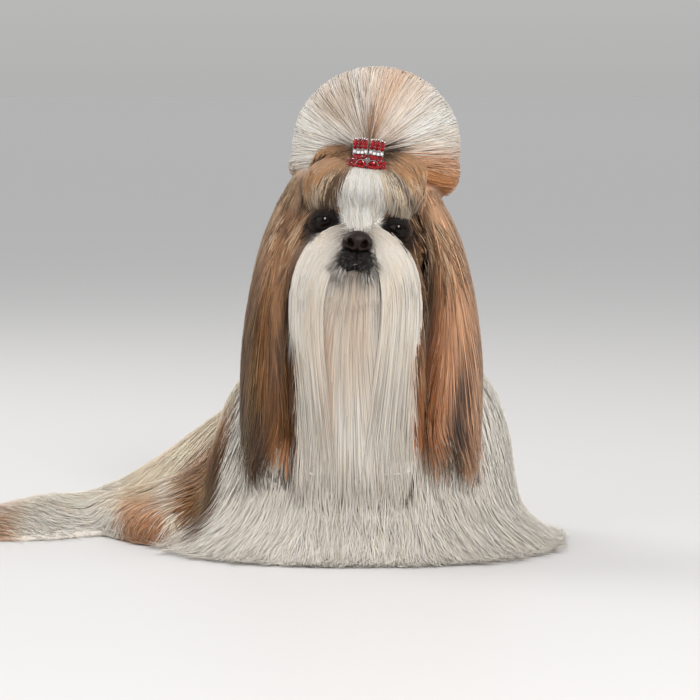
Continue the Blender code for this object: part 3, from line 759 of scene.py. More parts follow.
def coat_piece(name, paths, sides, widths, colours, unwrap):
    """A mesh of closed three-sided locks, each a small patch of the unwrap at its root's place."""
    paths = eased_in(paths)
    sides = turned_up(sides, paths)
    count, steps, _ = paths.shape
    along = unit(np.gradient(paths, axis=1))
    across = unit(np.cross(along, sides))
    top = unit(np.cross(across, along))
    shares = np.linspace(0, 1, steps)
    profile = (0.55 + 0.45 * np.sin(pi * np.minimum(shares * 1.7, 1.0) / 2)) * (1 - shares**2.6)
    half = widths[:, None, None] * profile[None, :, None] / 2
    spokes = np.stack([-across, top * FLATNESS, across], axis=2)
    ring = (paths[:, :, None] + spokes * half[:, :, None])[:, :-1].reshape(count, -1, 3)
    points = np.concatenate([ring, paths[:, -1:]], axis=1)
    points[:, :, 2] = np.maximum(points[:, :, 2], 0.0001)
    each = points.shape[1]
    facing = unit((1 - ROUNDNESS) * top[:, :, None] + ROUNDNESS * spokes)[:, :-1].reshape(count, -1, 3)
    facing = np.concatenate([facing, top[:, -1:]], axis=1)
    shade = np.concatenate([np.repeat(colours[:, :-1], 3, axis=1), colours[:, -1:]], axis=1)

    faces = lock_faces(steps)
    loops = np.array([index for face in faces for index in face])
    starts = np.concatenate([[0], np.cumsum([len(face) for face in faces])[:-1]])
    base = np.arange(count)[:, None]
    all_loops = (loops[None, :] + base * each).reshape(-1)
    all_starts = (starts[None, :] + base * len(loops)).reshape(-1)

    mesh = bpy.data.meshes.new(name)
    mesh.vertices.add(count * each)
    write_rows(mesh.vertices, "co", points + SHIFT)
    mesh.loops.add(len(all_loops))
    write_rows(mesh.loops, "vertex_index", all_loops, np.int32)
    mesh.polygons.add(len(all_starts))
    write_rows(mesh.polygons, "loop_start", all_starts, np.int32)
    mesh.update(calc_edges=True)
    mesh.shade_smooth()
    mesh.normals_split_custom_set_from_vertices(facing.reshape(-1, 3))
    coloured(mesh, np.clip(shade.reshape(-1, 3), 0, BRIGHTEST))
    rows = np.concatenate([np.repeat(np.arange(steps - 1), 3), [steps - 1]]) / (steps - 1) - 0.5
    columns = np.concatenate([np.tile((-0.5, 0.0, 0.5), steps - 1), [0.0]])
    strand = np.empty((count, each, 3), np.float32)
    strand[:, :, 0] = columns
    strand[:, :, 1] = rows
    strand[:, :, 2] = base
    write_rows(mesh.attributes.new("strand", "FLOAT_VECTOR", "POINT").data, "vector", strand)
    places = unwrap(paths[:, 0])[:, None, :] + (np.stack([columns, rows], axis=1) * PATCH)[None]
    write_rows(mesh.uv_layers.new(name="OFBake").data, "uv", places.reshape(-1, 2)[all_loops])
    mesh.materials.append(COAT)
    registered(placed(name, mesh))


def painted(paths, paint, chance, stray=0.003, spread=0.045):
    """Colours along each lock, from the markings near it and its own random tone, with painted shade
    darkening it towards the root.
    """
    count, steps, _ = paths.shape
    shares = np.linspace(0, 1, steps)[None, :, None]
    rooted = 0.35 * (1 - shares)
    moved = paths * (1 - rooted) + paths[:, :1] * rooted
    moved = moved + chance.normal(0, stray, (count, 1, 3))
    colours = paint(moved.reshape(-1, 3)).reshape(count, steps, 3)
    tress = noise(paths[:, steps // 2], 0.0035, 71)[:, None, None]
    shade = np.exp(chance.normal(0, spread, (count, 1, 1))) * (0.91 + 0.18 * tress)
    shade = np.where(chance.random((count, 1, 1)) < 0.05, shade * 0.86, shade)
    warm = chance.normal(0, 0.025, (count, 1, 1)) * np.array((0.4, 0.0, -1.0))
    # Painted shade: each lock is darker near its root, where the coat above shades it.
    root_shade = 0.84 + 0.16 * np.minimum(1.0, shares * 3.0)
    colours = colours * shade * root_shade * (1 + warm)
    grey = colours.mean(axis=-1, keepdims=True)
    return np.maximum(grey + VIVID * (colours - grey), 0.002)


class Unwrap:
    """The unwrap of the skin's shape, which gives each root its place on the coat's map."""

    def __init__(self, surface):
        obj = placed("unwrap", surface.mesh.copy())
        thin = obj.modifiers.new("thin", "DECIMATE")
        thin.ratio = 0.08
        bpy.context.view_layer.update()
        graph = bpy.context.evaluated_depsgraph_get()
        light = bpy.data.meshes.new_from_object(obj.evaluated_get(graph))
        obj.modifiers.clear()
        obj.data = light
        bpy.context.view_layer.objects.active = obj
        obj.select_set(True)
        bpy.ops.object.mode_set(mode="EDIT")
        bpy.ops.mesh.select_all(action="SELECT")
        bpy.ops.uv.smart_project(angle_limit=radians(66), island_margin=0.004)
        bpy.ops.object.mode_set(mode="OBJECT")
        light.calc_loop_triangles()
        self.points = np.array([vert.co for vert in light.vertices])
        self.corners = np.array([face.vertices for face in light.loop_triangles])
        loops = np.array([face.loops for face in light.loop_triangles])
        self.uvs = read_rows(light.uv_layers.active.data, "uv", 2)[loops]
        self.tree = BVHTree.FromPolygons(self.points.tolist(), self.corners.tolist())
        bpy.data.objects.remove(obj)

    def __call__(self, roots):
        spots, index = nearest_on(self.tree, roots)
        a, b, c = (self.points[self.corners[index, k]] for k in range(3))
        whole = np.linalg.norm(np.cross(b - a, c - a), axis=1)
        u = np.linalg.norm(np.cross(b - spots, c - spots), axis=1) / whole
        v = np.linalg.norm(np.cross(c - spots, a - spots), axis=1) / whole
        w = np.clip(1 - u - v, 0, 1)
        uvs = self.uvs[index]
        return uvs[:, 0] * u[:, None] + uvs[:, 1] * v[:, None] + uvs[:, 2] * w[:, None]


# Materials


def material(name, colour, roughness, **more):
    made = bpy.data.materials.new(name)
    made.use_nodes = True
    shader = made.node_tree.nodes["Principled BSDF"]
    shader.inputs["Base Color"].default_value = (*colour, 1.0)
    shader.inputs["Roughness"].default_value = roughness
    for socket, value in more.items():
        shader.inputs[socket.replace("_", " ")].default_value = value
    return made, made.node_tree, shader


def feed(tree, socket, value):
    """Gives a socket a value, or links another node's output to it."""
    if isinstance(value, bpy.types.NodeSocket):
        tree.links.new(value, socket)
    else:
        socket.default_value = value


def add_node(tree, kind, *values, **settings):
    """A node with its properties and inputs by name, and its first inputs in order."""
    node = tree.nodes.new(kind)
    for key, value in settings.items():
        if hasattr(node, key):
            setattr(node, key, value)
        else:
            feed(tree, node.inputs[key.replace("_", " ")], value)
    for socket, value in zip(node.inputs, values):
        feed(tree, socket, value)
    return node


def grained(tree, scale, detail, **more):
    """Fine noise between 0 and 1."""
    return add_node(tree, "ShaderNodeTexNoise", Scale=scale, Detail=detail, **more).outputs["Fac"]


def ranged(tree, value, low, high, **more):
    """A value stretched to run from low to high."""
    band = add_node(tree, "ShaderNodeMapRange", Value=value, To_Min=low, To_Max=high, **more)
    return band.outputs["Result"]


def between(tree, share, first, second):
    """A colour between two others."""
    ends = {"A": (*first, 1.0), "B": (*second, 1.0)}
    return add_node(tree, "ShaderNodeMix", data_type="RGBA", Factor=share, **ends).outputs["Result"]


def spot_of(tree, output="Object"):
    """The place of the shaded spot, as another node's output."""
    return add_node(tree, "ShaderNodeTexCoord").outputs[output]


def embossed(tree, shader, height, strength, depth):
    """Raises a material's surface by a pattern."""
    relief = add_node(tree, "ShaderNodeBump", Strength=strength, Distance=depth, Height=height)
    feed(tree, shader.inputs["Normal"], relief.outputs["Normal"])


def varied(tree, source, scale, low, high, coordinates, detail=3.0):
    """The colour of a socket, darkened and lightened by fine noise."""
    band = ranged(tree, grained(tree, scale, detail, Vector=coordinates), low, high)
    settings = {"data_type": "RGBA", "blend_type": "MULTIPLY", "Factor": 1.0}
    return add_node(tree, "ShaderNodeMix", **settings, A=source, B=band).outputs["Result"]


def skin_material():
    made, tree, shader = material("skin", (0.8, 0.8, 0.8), 0.7)
    paint = add_node(tree, "ShaderNodeAttribute", attribute_name="coat")
    colour = varied(tree, paint.outputs["Color"], 450.0, 0.80, 1.10, spot_of(tree))
    feed(tree, shader.inputs["Base Color"], colour)
    return made


def coat_material():
    """Each lock is streaked along its length with fine lighter and darker hairs."""
    made, tree, shader = material("coat", (0.8, 0.8, 0.8), 0.5, Specular_IOR_Level=0.22, Sheen_Weight=0.05)
    shader.inputs["Subsurface Weight"].default_value = 0.35
    shader.inputs["Subsurface Scale"].default_value = 0.004
    shader.inputs["Subsurface Radius"].default_value = (1.0, 0.85, 0.75)
    paint = add_node(tree, "ShaderNodeAttribute", attribute_name="coat").outputs["Color"]
    strand = add_node(tree, "ShaderNodeAttribute", attribute_name="strand").outputs["Vector"]
    stretch = add_node(tree, "ShaderNodeVectorMath", strand, (4.5, 1.6, 3.7), operation="MULTIPLY")
    along = stretch.outputs["Vector"]
    feed(tree, shader.inputs["Base Color"], varied(tree, paint, 1.0, 0.74, 1.26, along, detail=2.0))
    grain = grained(tree, 2.0, 1.0, Vector=along)
    feed(tree, shader.inputs["Roughness"], ranged(tree, grain, 0.40, 0.62))
    embossed(tree, shader, grain, 0.35, 0.0002)
    return made


COAT = coat_material()
SKIN = skin_material()


def make_skin(surface, labels):
    """The whole envelope drawn in by the depth of the coat, in one piece."""
    points = surface.points
    place = in_head(points)
    face = marked(labels, "muzzle") + marked(labels, "head") * smooth(place[:, 1], 0.035, 0.015)
    hair = marked(labels, *HAIR)
    depth = COAT_DEPTH * (1 - 0.55 * np.clip(face, 0, 1) - 0.20 * hair) * smooth(points[:, 2], 0.001, 0.014)
    thick = np.full(len(points), 0.05)
    for row, (point, normal) in enumerate(zip(points.tolist(), surface.vertex_normals.tolist())):
        inward = Vector(normal) * -1
        reach = surface.tree.ray_cast(Vector(point) + inward * 0.0005, inward, 0.05)[3]
        if reach is not None:
            thick[row] = reach
    moved = points - surface.vertex_normals * np.minimum(depth, 0.32 * thick)[:, None]
    for names, end in ((("ear_left", "ear_right"), 0.082), (("beard",), 0.066)):
        short = (marked(labels, *names) > 0) & (moved[:, 2] < end)
        moved[short, 2] = end + 0.15 * (moved[short, 2] - end)
    moved[:, 2] = np.maximum(moved[:, 2], 0.0)
    mesh = surface.mesh.copy()
    mesh.name = "skin"
    write_rows(mesh.vertices, "co", moved)
    mesh.update()
    mesh.shade_smooth()
    # The skin takes the coat's markings darkened a little, as painted shade under the hair.
    coloured(mesh, skin_colour(points, labels) * 0.86)
    mesh.materials.clear()
    mesh.materials.append(SKIN)
    mesh.transform(Matrix.Translation(Vector(SHIFT)))
    registered(placed("skin", mesh), ALL_NODES)
    return BVHTree.FromPolygons(moved.tolist(), surface.faces.tolist())


# The coat, region by region


def level(vectors):
    """Directions laid flat."""
    return unit(vectors * np.array((1.0, 1.0, 0.0)) + 1e-6)


def spline(rows, shares):
    """Points at shares of the way along a smooth curve through rows."""
    rows = np.asarray(rows, float)
    place = np.clip(shares, 0.0, 1.0) * (len(rows) - 1)
    first = np.minimum(place.astype(int), len(rows) - 2)
    part = (place - first)[..., None]
    a, b, c, d = (rows[np.clip(first + k, 0, len(rows) - 1)] for k in (-1, 0, 1, 2))
    bend = (2 * a - 5 * b + 4 * c - d) * part**2 + (3 * b - a - 3 * c + d) * part**3
    return b + 0.5 * ((c - a) * part + bend)


def body_heading(spot, normals, share):
    """Down from the neck, back and down along the trunk, out over the floor and along the tail."""
    along, aside = body_place(spot)
    behind = smooth(along, 0.030, 0.110)[:, None]
    away = np.sign(aside)[:, None] * LEFT
    way = -UP + behind * (0.55 * BACK + 0.30 * away)
    low = smooth(spot[:, 2], 0.026, 0.006)[:, None]
    way = way + 1.1 * low * level(normals)
    tail = smooth(spot[:, 0], -0.180, -0.210)[:, None]
    from_bone = np.stack([0 * along, spot[:, 1] - 0.062, 0 * along], axis=1) / 0.040
    plume = np.array((-1.0, 0.12, -0.10)) + 0.55 * np.clip(from_bone, -1, 1)
    return way * (1 - tail) + plume * tail


def body_hem(spot, out):
    """Where the coat has come down to the floor and lies free."""
    return (spot[:, 2] < 0.0045) | ((out[:, 2] < -0.35) & (spot[:, 2] < 0.012))


def plant_body(surface, labels, unwrap):
    """The coat of the body in three regions: the chest and front, the flanks and back, and the tail."""
    chance = np.random.default_rng(7)
    normals = surface.normals
    along, aside = body_place(surface.centres)
    height = surface.centres[:, 2]
    open_air = smooth(normals[:, 2], -0.75, -0.35)
    torso = marked(labels, "neck", "chest", "trunk", "rump", "tail", *LEGS)
    ends = marked(labels, *HAIR) * smooth(height, 0.105, 0.085) * smooth(normals[:, 2], -0.30, -0.05)
    torso = np.maximum(torso, ends) * open_air * (height > 0.0015)
    front = smooth(along, 0.085, 0.075)
    tail = smooth(along, 0.120, 0.135) * smooth(height, 0.060, 0.045) * smooth(aside, 0.0, -0.03)
    regions = (
        ("chest", 8800, torso * front * (1 + 0.8 * smooth(height, 0.14, 0.05)), (0.040, 0.075), 0.0010),
        ("flank", 4400, torso * (1 - front) * (1 - 0.8 * tail), (0.038, 0.058), 0.0010),
        ("tail", 3300, torso * (1 - front) * tail, (0.022, 0.038), 0.0009),
    )
    steps = 6
    for region, count, density, reach, width in regions:
        roots = surface.scatter(count, density, chance)
        lengths = chance.uniform(*reach, count)
        lengths *= 0.35 + 0.65 * smooth(roots[:, 2], 0.002, 0.045)
        paths, sides = grow(
            surface, roots, body_heading, lengths, steps, chance,
            bury=0.0025, lift=0.0010, wander=0.15, hem=body_hem,
        )
        paths = gathered(paths, 0.013, 0.32, chance)
        fluff = smooth(paths[..., 0], -0.230, -0.262) * smooth(sides[..., 2], -0.2, 0.4)
        paths[..., 2] += 0.006 * fluff * np.linspace(0, 1, steps) ** 0.7
        paths[:, :, 2] = np.maximum(paths[:, :, 2], LEAST_HEIGHT)
        widths = thickness(chance, count, width, 1.2)
        parts = {"coat_" + region: widths > 0}
        if region == "chest":
            colours = painted(paths, back_colour, chance)
            left = paths[:, 0, 0] >= CHEST_MIDDLE
            parts = {"coat_chest_left": left, "coat_chest_right": ~left}
        else:
            colours = painted(paths, body_colour, chance, 0.005, 0.12)
        for name, part in parts.items():
            coat_piece(name, paths[part], sides[part], widths[part], colours[part], unwrap)


def plant_wisps(surface, unwrap):
    """Fine ends of the skirt that lie out over the floor."""
    chance = np.random.default_rng(9)
    centres, normals = surface.centres, surface.normals
    low = smooth(centres[:, 2], 0.020, 0.006) * (centres[:, 2] > 0.0015) * smooth(normals[:, 2], -0.7, -0.3)
    low = low * (1 - 0.85 * smooth(centres[:, 0], -0.165, -0.185))
    count, steps = 2600, 5
    roots = surface.scatter(count, low, chance)
    spread = (1.3 * (noise(roots, 0.016, 83) - 0.5) + chance.normal(0, 0.25, count))[:, None]

    def heading(spot, normals, share):
        out = level(normals)
        return out * np.cos(spread) + np.cross(UP, out) * np.sin(spread) - 0.3 * UP

    def hem(spot, out):
        return spot[:, 2] < 0.006

    lengths = chance.uniform(0.014, 0.042, count) * (0.5 + 1.0 * noise(roots, 0.009, 84))
    paths, sides = grow(
        surface, roots, heading, lengths, steps, chance, bury=0.001, lift=0.0012, wander=0.25, hem=hem
    )
    paths = gathered(paths, 0.008, 0.65, chance)
    paths[:, :, 2] += chance.uniform(-0.002, 0.006, count)[:, None] * np.linspace(0, 1, steps)[None] ** 2
    paths[:, :, 2] = np.maximum(paths[:, :, 2], LEAST_HEIGHT)
    sides[:] = unit(sides * 0.3 + UP)
    widths = 0.0007 * chance.uniform(0.5, 1.2, count)
    coat_piece("coat_wisps", paths, sides, widths, painted(paths, body_colour, chance), unwrap)


def plant_topknot(surface, unwrap):
    """Hair that rises from under the slides and falls over the back of the head."""
    chance = np.random.default_rng(11)

    def heading(spot, normals, share):
        away = spot - BARRETTE
        over = smooth(spot[:, 1], 0.050, 0.075)[:, None]
        return unit(away) * (1 - over) + np.array((0.0, 0.25, -1.0)) * over

    away = np.linalg.norm(surface.centres - BARRETTE, axis=1)
    density = smooth(surface.normals[:, 2], -1.0, -0.8) * (1 + 2.2 * smooth(away, 0.060, 0.012))
    count = 4300
    roots = surface.scatter(count, density, chance)
    lengths = chance.uniform(0.036, 0.075, count)
    paths, sides = grow(surface, roots, heading, lengths, 7, chance, bury=0.0022, lift=0.0004, wander=0.05)
    paths = gathered(paths, 0.006, 0.15, chance)
    widths = thickness(chance, count, 0.0009)
    colours = painted(paths, knot_colour, chance, 0.003, 0.07)
    coat_piece("coat_topknot", paths, sides, widths, colours, unwrap)


def plant_brow(surface, labels, unwrap):
    """Hair swept up to the slides, and the white hair that rises between the eyes."""
    chance = np.random.default_rng(13)

    def heading(spot, normals, share):
        drop = brow_drop(spot)
        return np.stack([0.5 * (BROW_START[0] - spot[:, 0]), 0.3 * drop, drop], axis=1)

    place = in_head(surface.centres)
    front = smooth(place[:, 1], 0.075, 0.055)
    density = marked(labels, "forehead") * front * (1 + 2.5 * smooth(place[:, 2], 0.026, 0.010))
    count = 3500
    roots = surface.scatter(count, density, chance)
    reach = np.linalg.norm(roots - BARRETTE, axis=1)
    lengths = np.clip(reach - 0.008, 0.006, 0.07) * chance.uniform(0.75, 1.05, count)
    paths, sides = grow(surface, roots, heading, lengths, 6, chance, bury=0.0016, lift=0.0006, wander=0.03)
    paths = gathered(paths, 0.005, 0.25, chance)
    widths = thickness(chance, count, 0.0007, 1.2)
    spots = in_head(paths.reshape(-1, 3)).reshape(paths.shape)
    off = np.abs(spots[..., 0])
    outer = np.where(spots[..., 0] > 0, 0.75 * smooth(off, 0.030, 0.046), 0.45 * smooth(off, 0.040, 0.054))
    sag = smooth(spots[..., 2], 0.040, 0.012) * smooth(off, 0.015, 0.040) * (1 - outer)
    paths = paths + sag[..., None] * BROW_SAG

    near = smooth(np.abs(place[:, 0] + 0.001), 0.014, 0.010) * (place[:, 1] < 0.01)
    bridge = near * smooth(place[:, 2], -0.005, -0.002) * smooth(place[:, 2], 0.012, 0.006)
    count = 420
    roots = surface.scatter(count, bridge * marked(labels, "head", "muzzle", "forehead"), chance)

    def rising(spot, normals, share):
        return np.stack([0.12 * np.sign(spot[:, 0]), 0 * spot[:, 0], 1 + 0 * spot[:, 0]], axis=1)

    lengths = chance.uniform(0.012, 0.026, count)
    more, more_sides = grow(surface, roots, rising, lengths, 6, chance, bury=0.001, lift=0.0007, wander=0.10)
    paths = np.concatenate([paths, more])
    sides = np.concatenate([sides, more_sides])
    widths = np.concatenate([widths, thickness(chance, count, 0.0007, 1.2)])
    sides[..., 1] = np.minimum(sides[..., 1], -0.35)
    colours = painted(paths, brow_colour, chance, 0.001, 0.12)
    coat_piece("coat_brow", paths, unit(sides), widths, colours, unwrap)


def plant_face(surface, labels, unwrap):
    """Short hair swept out and down over the cheeks and the muzzle."""
    chance = np.random.default_rng(17)

    def heading(spot, normals, share):
        place = in_head(spot)
        outward = np.sign(place[:, 0] + 0.001)[:, None] * np.array((1.0, 0.0, 0.0))
        above = (smooth(place[:, 2], 0.000, 0.008) * smooth(np.abs(place[:, 0]), 0.036, 0.026))[:, None]
        cheek = 0.55 * outward - 0.9 * UP + np.array((0.0, 0.4, 0.0))
        return cheek * (1 - above) + (0.5 * outward + 0.8 * UP) * above

    place = in_head(surface.centres)
    off = np.abs(place[:, 0])
    eye = np.hypot(off - PUPIL_SPACING / 2, place[:, 2])
    nose = np.hypot(place[:, 0] + 0.001, place[:, 2] + 0.020)
    lips = np.hypot((place[:, 0] + 0.001) / LIP_BARE[0], (place[:, 2] + 0.0262) / LIP_BARE[1])
    bare = smooth(eye, 0.0072, 0.0088) * smooth(nose, 0.010, 0.012) * smooth(lips, 0.92, 1.0)
    density = marked(labels, "head", "muzzle") * bare * smooth(place[:, 1], 0.048, 0.034)
    density = density * (1 + 3.0 * smooth(eye, 0.024, 0.012))
    count = 2800
    roots = surface.scatter(count, density, chance)
    place = in_head(roots)
    far = smooth(np.abs(place[:, 0]), 0.032, 0.050)
    lengths = (0.0065 + 0.026 * far) * chance.uniform(0.7, 1.2, count)
    paths, sides = grow(surface, roots, heading, lengths, 5, chance, bury=0.0010, lift=0.0006, wander=0.15)
    widths = thickness(chance, count, 0.0007, 1.2)
    colours = painted(paths, face_colour, chance, 0.0008, 0.10)
    coat_piece("coat_face", paths, sides, widths, colours, unwrap)


def plant_nape(surface, labels, unwrap):
    """The back of the head, where hair falls from under the topknot onto the neck."""
    chance = np.random.default_rng(47)

    def heading(spot, normals, share):
        return np.broadcast_to(np.array((0.0, 0.3, -1.0)), spot.shape)

    place = in_head(surface.centres)
    density = marked(labels, "head", "forehead", "ear_left", "ear_right") * smooth(place[:, 1], 0.030, 0.040)
    count = 1300
    roots = surface.scatter(count, density, chance)
    lengths = chance.uniform(0.030, 0.062, count)
    paths, sides = grow(surface, roots, heading, lengths, 6, chance, bury=0.0015, lift=0.0012, wander=0.08)
    paths = gathered(paths, 0.009, 0.4, chance)
    widths = thickness(chance, count, 0.0010, 1.2)
    colours = painted(paths, face_colour, chance, 0.002)
    coat_piece("coat_nape", paths, sides, widths, colours, unwrap)


def plant_cheeks(surface, labels, unwrap):
    """Long hair from the temples, falling between the moustache and the ears."""
    chance = np.random.default_rng(37)

    def heading(spot, normals, share):
        place = in_head(spot)
        outward = np.sign(place[:, 0])[:, None] * np.array((1.0, 0.0, 0.0))
        high = smooth(place[:, 2], -0.035, 0.005)[:, None]
        return -UP + high * 0.85 * outward + np.array((0.0, 0.1, 0.0))

    place = in_head(surface.centres)
    off = np.abs(place[:, 0])
    inner = np.interp(place[:, 2], (-0.060, -0.017, -0.004, 0.010), (0.048, 0.038, 0.036, 0.034))
    density = smooth(off, inner, inner + 0.004) * smooth(off, 0.064, 0.056) * (place[:, 1] < 0.045)
    density = density * smooth(place[:, 2], -0.110, -0.050) * smooth(place[:, 2], 0.016, 0.008)
    density = density * marked(labels, "head", "muzzle", "forehead", "beard", "ear_left", "ear_right")
    count = 1600
    roots = surface.scatter(count, density, chance)
    lengths = chance.uniform(0.050, 0.105, count)
    paths, sides = grow(surface, roots, heading, lengths, 7, chance, bury=0.0012, lift=0.0010, wander=0.05)
    paths = gathered(straightened(paths, 3), 0.006, 0.45, chance)
    paths[:, 1:] = kept_out(paths[:, 1:], surface, 0.0002)
    sides = unit(straightened(sides, 3))
    widths = thickness(chance, count, 0.0008)
    colours = painted(paths, cheek_colour, chance, 0.001, 0.12)
    coat_piece("coat_cheeks", paths, sides, widths, colours, unwrap)


# Edges of the moustache's two curtains, from the nose to the ends: distance across, and height.
CURTAINS = (
    (
        (-0.008, 0.2530), (-0.0250, 0.2490), (-0.0400, 0.2345), (-0.0500, 0.2120),
        (-0.0525, 0.1770), (-0.0460, 0.1200), (-0.0420, 0.0420),
    ),
    (
        (-0.0182, 0.2280), (-0.0215, 0.2180), (-0.0265, 0.2050), (-0.0295, 0.1850),
        (-0.0285, 0.1550), (-0.0230, 0.1050), (-0.0150, 0.0380),
    ),
    (
        (0.004, 0.2530), (0.0160, 0.2485), (0.0305, 0.2370), (0.0425, 0.2130),
        (0.0445, 0.1770), (0.0385, 0.1200), (0.0350, 0.0420),
    ),
    (
        (0.0124, 0.2280), (0.0140, 0.2180), (0.0160, 0.2050), (0.0162, 0.1850),
        (0.0130, 0.1550), (0.0060, 0.1050), (-0.0040, 0.0380),
    ),
)
BEARD_MIDDLE = -0.0035
BEARD_REACH = 0.052
BEARD_FRONT = (-0.0850, -0.0775, -0.0680, -0.0590, -0.0540, -0.0500, -0.0480)


def beard_front(x, z):
    """How far forward the beard's front lies across and down it."""
    middle = np.interp(z, (0.038, 0.060, 0.10, 0.15, 0.19, 0.215, 0.24), BEARD_FRONT)
    return middle + 0.013 * np.abs((x - BEARD_MIDDLE) / BEARD_REACH) ** 3.2


def front_of(tree, points):
    """How far forward a surface lies in front of points, or nothing where it is missed."""
    found = np.full(len(points), np.nan)
    for row, (x, _, z) in enumerate(points.tolist()):
        spot = tree.ray_cast(Vector((x, -0.2, z)), Vector((0, 1, 0)))[0]
        if spot is not None:
            found[row] = spot.y
    return found


def hung(flat, depth, surface, skin, upper):
    """Paths through x and z of flat, lying on the face above a height and hanging in front below it."""
    points = np.stack([flat[..., 0], np.zeros(flat.shape[:2]), flat[..., 1]], axis=-1)
    free = beard_front(points[..., 0], points[..., 2]) + depth
    on_face = front_of(surface.tree, points.reshape(-1, 3)).reshape(free.shape)
    on_face = np.where(np.isnan(on_face), free, np.minimum(on_face, free + 0.02))
    hanging = smooth(points[..., 2], upper, upper - 0.022)
    points[..., 1] = on_face * (1 - hanging) + free * hanging
    points = straightened(points, 2)
    limit = front_of(skin, points.reshape(-1, 3)).reshape(free.shape)
    limit = np.where(np.isnan(limit), 1.0, limit) - 0.0008
    near = points[..., 1] - limit < 0.012
    points[..., 1] = np.where(near, np.minimum(points[..., 1], limit), points[..., 1])
    return points


def facing_out(paths):
    """Directions square to hanging hair, turning to the side towards the beard's edges."""
    turn = (paths[..., 0] - BEARD_MIDDLE) / BEARD_REACH
    return unit(np.stack([0.9 * turn, -np.ones_like(turn), 0.15 * np.ones_like(turn)], axis=-1))


def plant_moustache(surface, skin, unwrap):
    """Two curtains that spring from beside the nose, arch outwards and fall to the chest."""
    for side, outer, inner in ((-1, CURTAINS[0], CURTAINS[1]), (1, CURTAINS[2], CURTAINS[3])):
        chance = np.random.default_rng(29 + side)
        count, steps = 1860, 9
        across = chance.random(count) ** 0.9
        high = chance.random(count) < 0.50
        start = np.where(high, chance.uniform(0.0, 0.16, count), chance.uniform(0.1, 0.66, count))
        end = np.minimum(start + chance.uniform(0.45, 0.85, count), chance.normal(0.86, 0.10, count))
        end = np.clip(end, start + 0.15, 1.0)
        shares = start[:, None] + (end - start)[:, None] * np.linspace(0, 1, steps)[None]
        weave = woven(33, across * 14, start * 3, side) - 0.5
        mix = across[:, None] + (0.12 * weave)[:, None] * shares
        behind = (chance.random(count) < 0.14) & (start > 0.25)
        mix = np.where(behind[:, None], 0.96 + 0.10 * across[:, None], np.clip(mix, -0.08, 1.04))[..., None]
        flat = spline(inner, shares) * (1 - mix) + spline(outer, shares) * mix
        flat[..., 0] += 0.0006 * np.sin(9 * shares + 6.3 * chance.random(count)[:, None])
        deep = chance.uniform(0.0, 0.0030, count)[:, None] - 0.0018 * np.sin(pi * np.clip(shares, 0, 1))
        deep = deep + np.where(behind, chance.uniform(0.001, 0.006, count), 0.0)[:, None]
        paths = hung(flat, deep, surface, skin, 0.228)
        sides = facing_out(paths)
        paths[:, 0] -= sides[:, 0] * 0.0015
        paths[:, 1:] += sides[:, 1:] * 0.0011
        paths = gathered(paths, 0.006, 0.30, chance)
        widths = thickness(chance, count, 0.0009)
        word = "left" if side > 0 else "right"
        colours = painted(paths, beard_colour, chance, 0.002)
        coat_piece("coat_moustache_" + word, paths, sides, widths, colours, unwrap)


def chin_flat(chance, count, steps):
    """Across and height of hair that falls from the chin and widens towards its ends."""
    across = chance.uniform(-1, 1, count)
    chin = chance.uniform(0.204, 0.214, count) + 0.008 * across**2
    rows = np.stack([
        np.stack([BEARD_MIDDLE + 0.0215 * across, chin], axis=1),
        np.stack([-0.008 + 0.030 * across, np.full(count, 0.155)], axis=1),
        np.stack([-0.006 + 0.038 * across, np.full(count, 0.10)], axis=1),
        np.stack([-0.005 + 0.043 * across, chance.uniform(0.036, 0.062, count)], axis=1),
    ])
    start = np.where(chance.random(count) < 0.35, 0.0, chance.uniform(0.0, 0.72, count))
    end = np.minimum(start + chance.uniform(0.30, 0.75, count), 1.0)
    shares = start[:, None] + (end - start)[:, None] * np.linspace(0, 1, steps)[None]
    place = np.clip(shares, 0, 1) * (len(rows) - 1)
    first = np.minimum(place.astype(int), len(rows) - 2)
    part = (place - first)[..., None]
    index = np.arange(count)[:, None]
    return rows[first, index] * (1 - part) + rows[first + 1, index] * part


def plant_chin(surface, skin, unwrap):
    """Hair that falls from the chin a little behind the curtains, and short tufts over it."""
    chance = np.random.default_rng(31)
    count, steps = 1800, 7
    flat = chin_flat(chance, count, steps)
    recess = 0.0014 * smooth(flat[..., 1], 0.095, 0.130) + 0.0005
    paths = hung(flat, recess + chance.uniform(-0.001, 0.001, count)[:, None], surface, skin, 0.212)
    sides = facing_out(paths)
    paths[:, :, 1] -= chance.uniform(0, 0.001, count)[:, None]
    paths = gathered(paths, 0.006, 0.35, chance)
    widths = thickness(chance, count, 0.0009)

    tufts = 560
    angle = chance.normal(0, 0.52, tufts)
    reach = chance.uniform(0.012, 0.036, tufts)
    run = np.linspace(0, 1, steps)[None]
    x = (BEARD_MIDDLE + 0.0125 * np.sin(angle * 2.2))[:, None] + (reach * np.sin(angle))[:, None] * run
    z = (0.2162 + 0.006 * np.abs(np.sin(angle * 2.2)))[:, None] - (reach * np.cos(angle))[:, None] * run**1.1
    more = hung(np.stack([x, z], axis=-1), np.full((tufts, steps), 0.0005), surface, skin, 0.205)
    more_sides = facing_out(more)
    more[:, 1:] += more_sides[:, 1:] * 0.0012
    paths = np.concatenate([paths, more])
    sides = np.concatenate([sides, more_sides])
    widths = np.concatenate([widths, thickness(chance, tufts, 0.0006, 1.2)])
    colours = painted(paths, beard_colour, chance, 0.002)
    coat_piece("coat_chin", paths, sides, widths, colours, unwrap)


def bristle_colour(points):
    """Near-white with brown-grey hairs between."""
    return layered((226, 220, 212), ((88, 78, 74), smooth(noise(points, 0.0012, 61), 0.52, 0.74)))


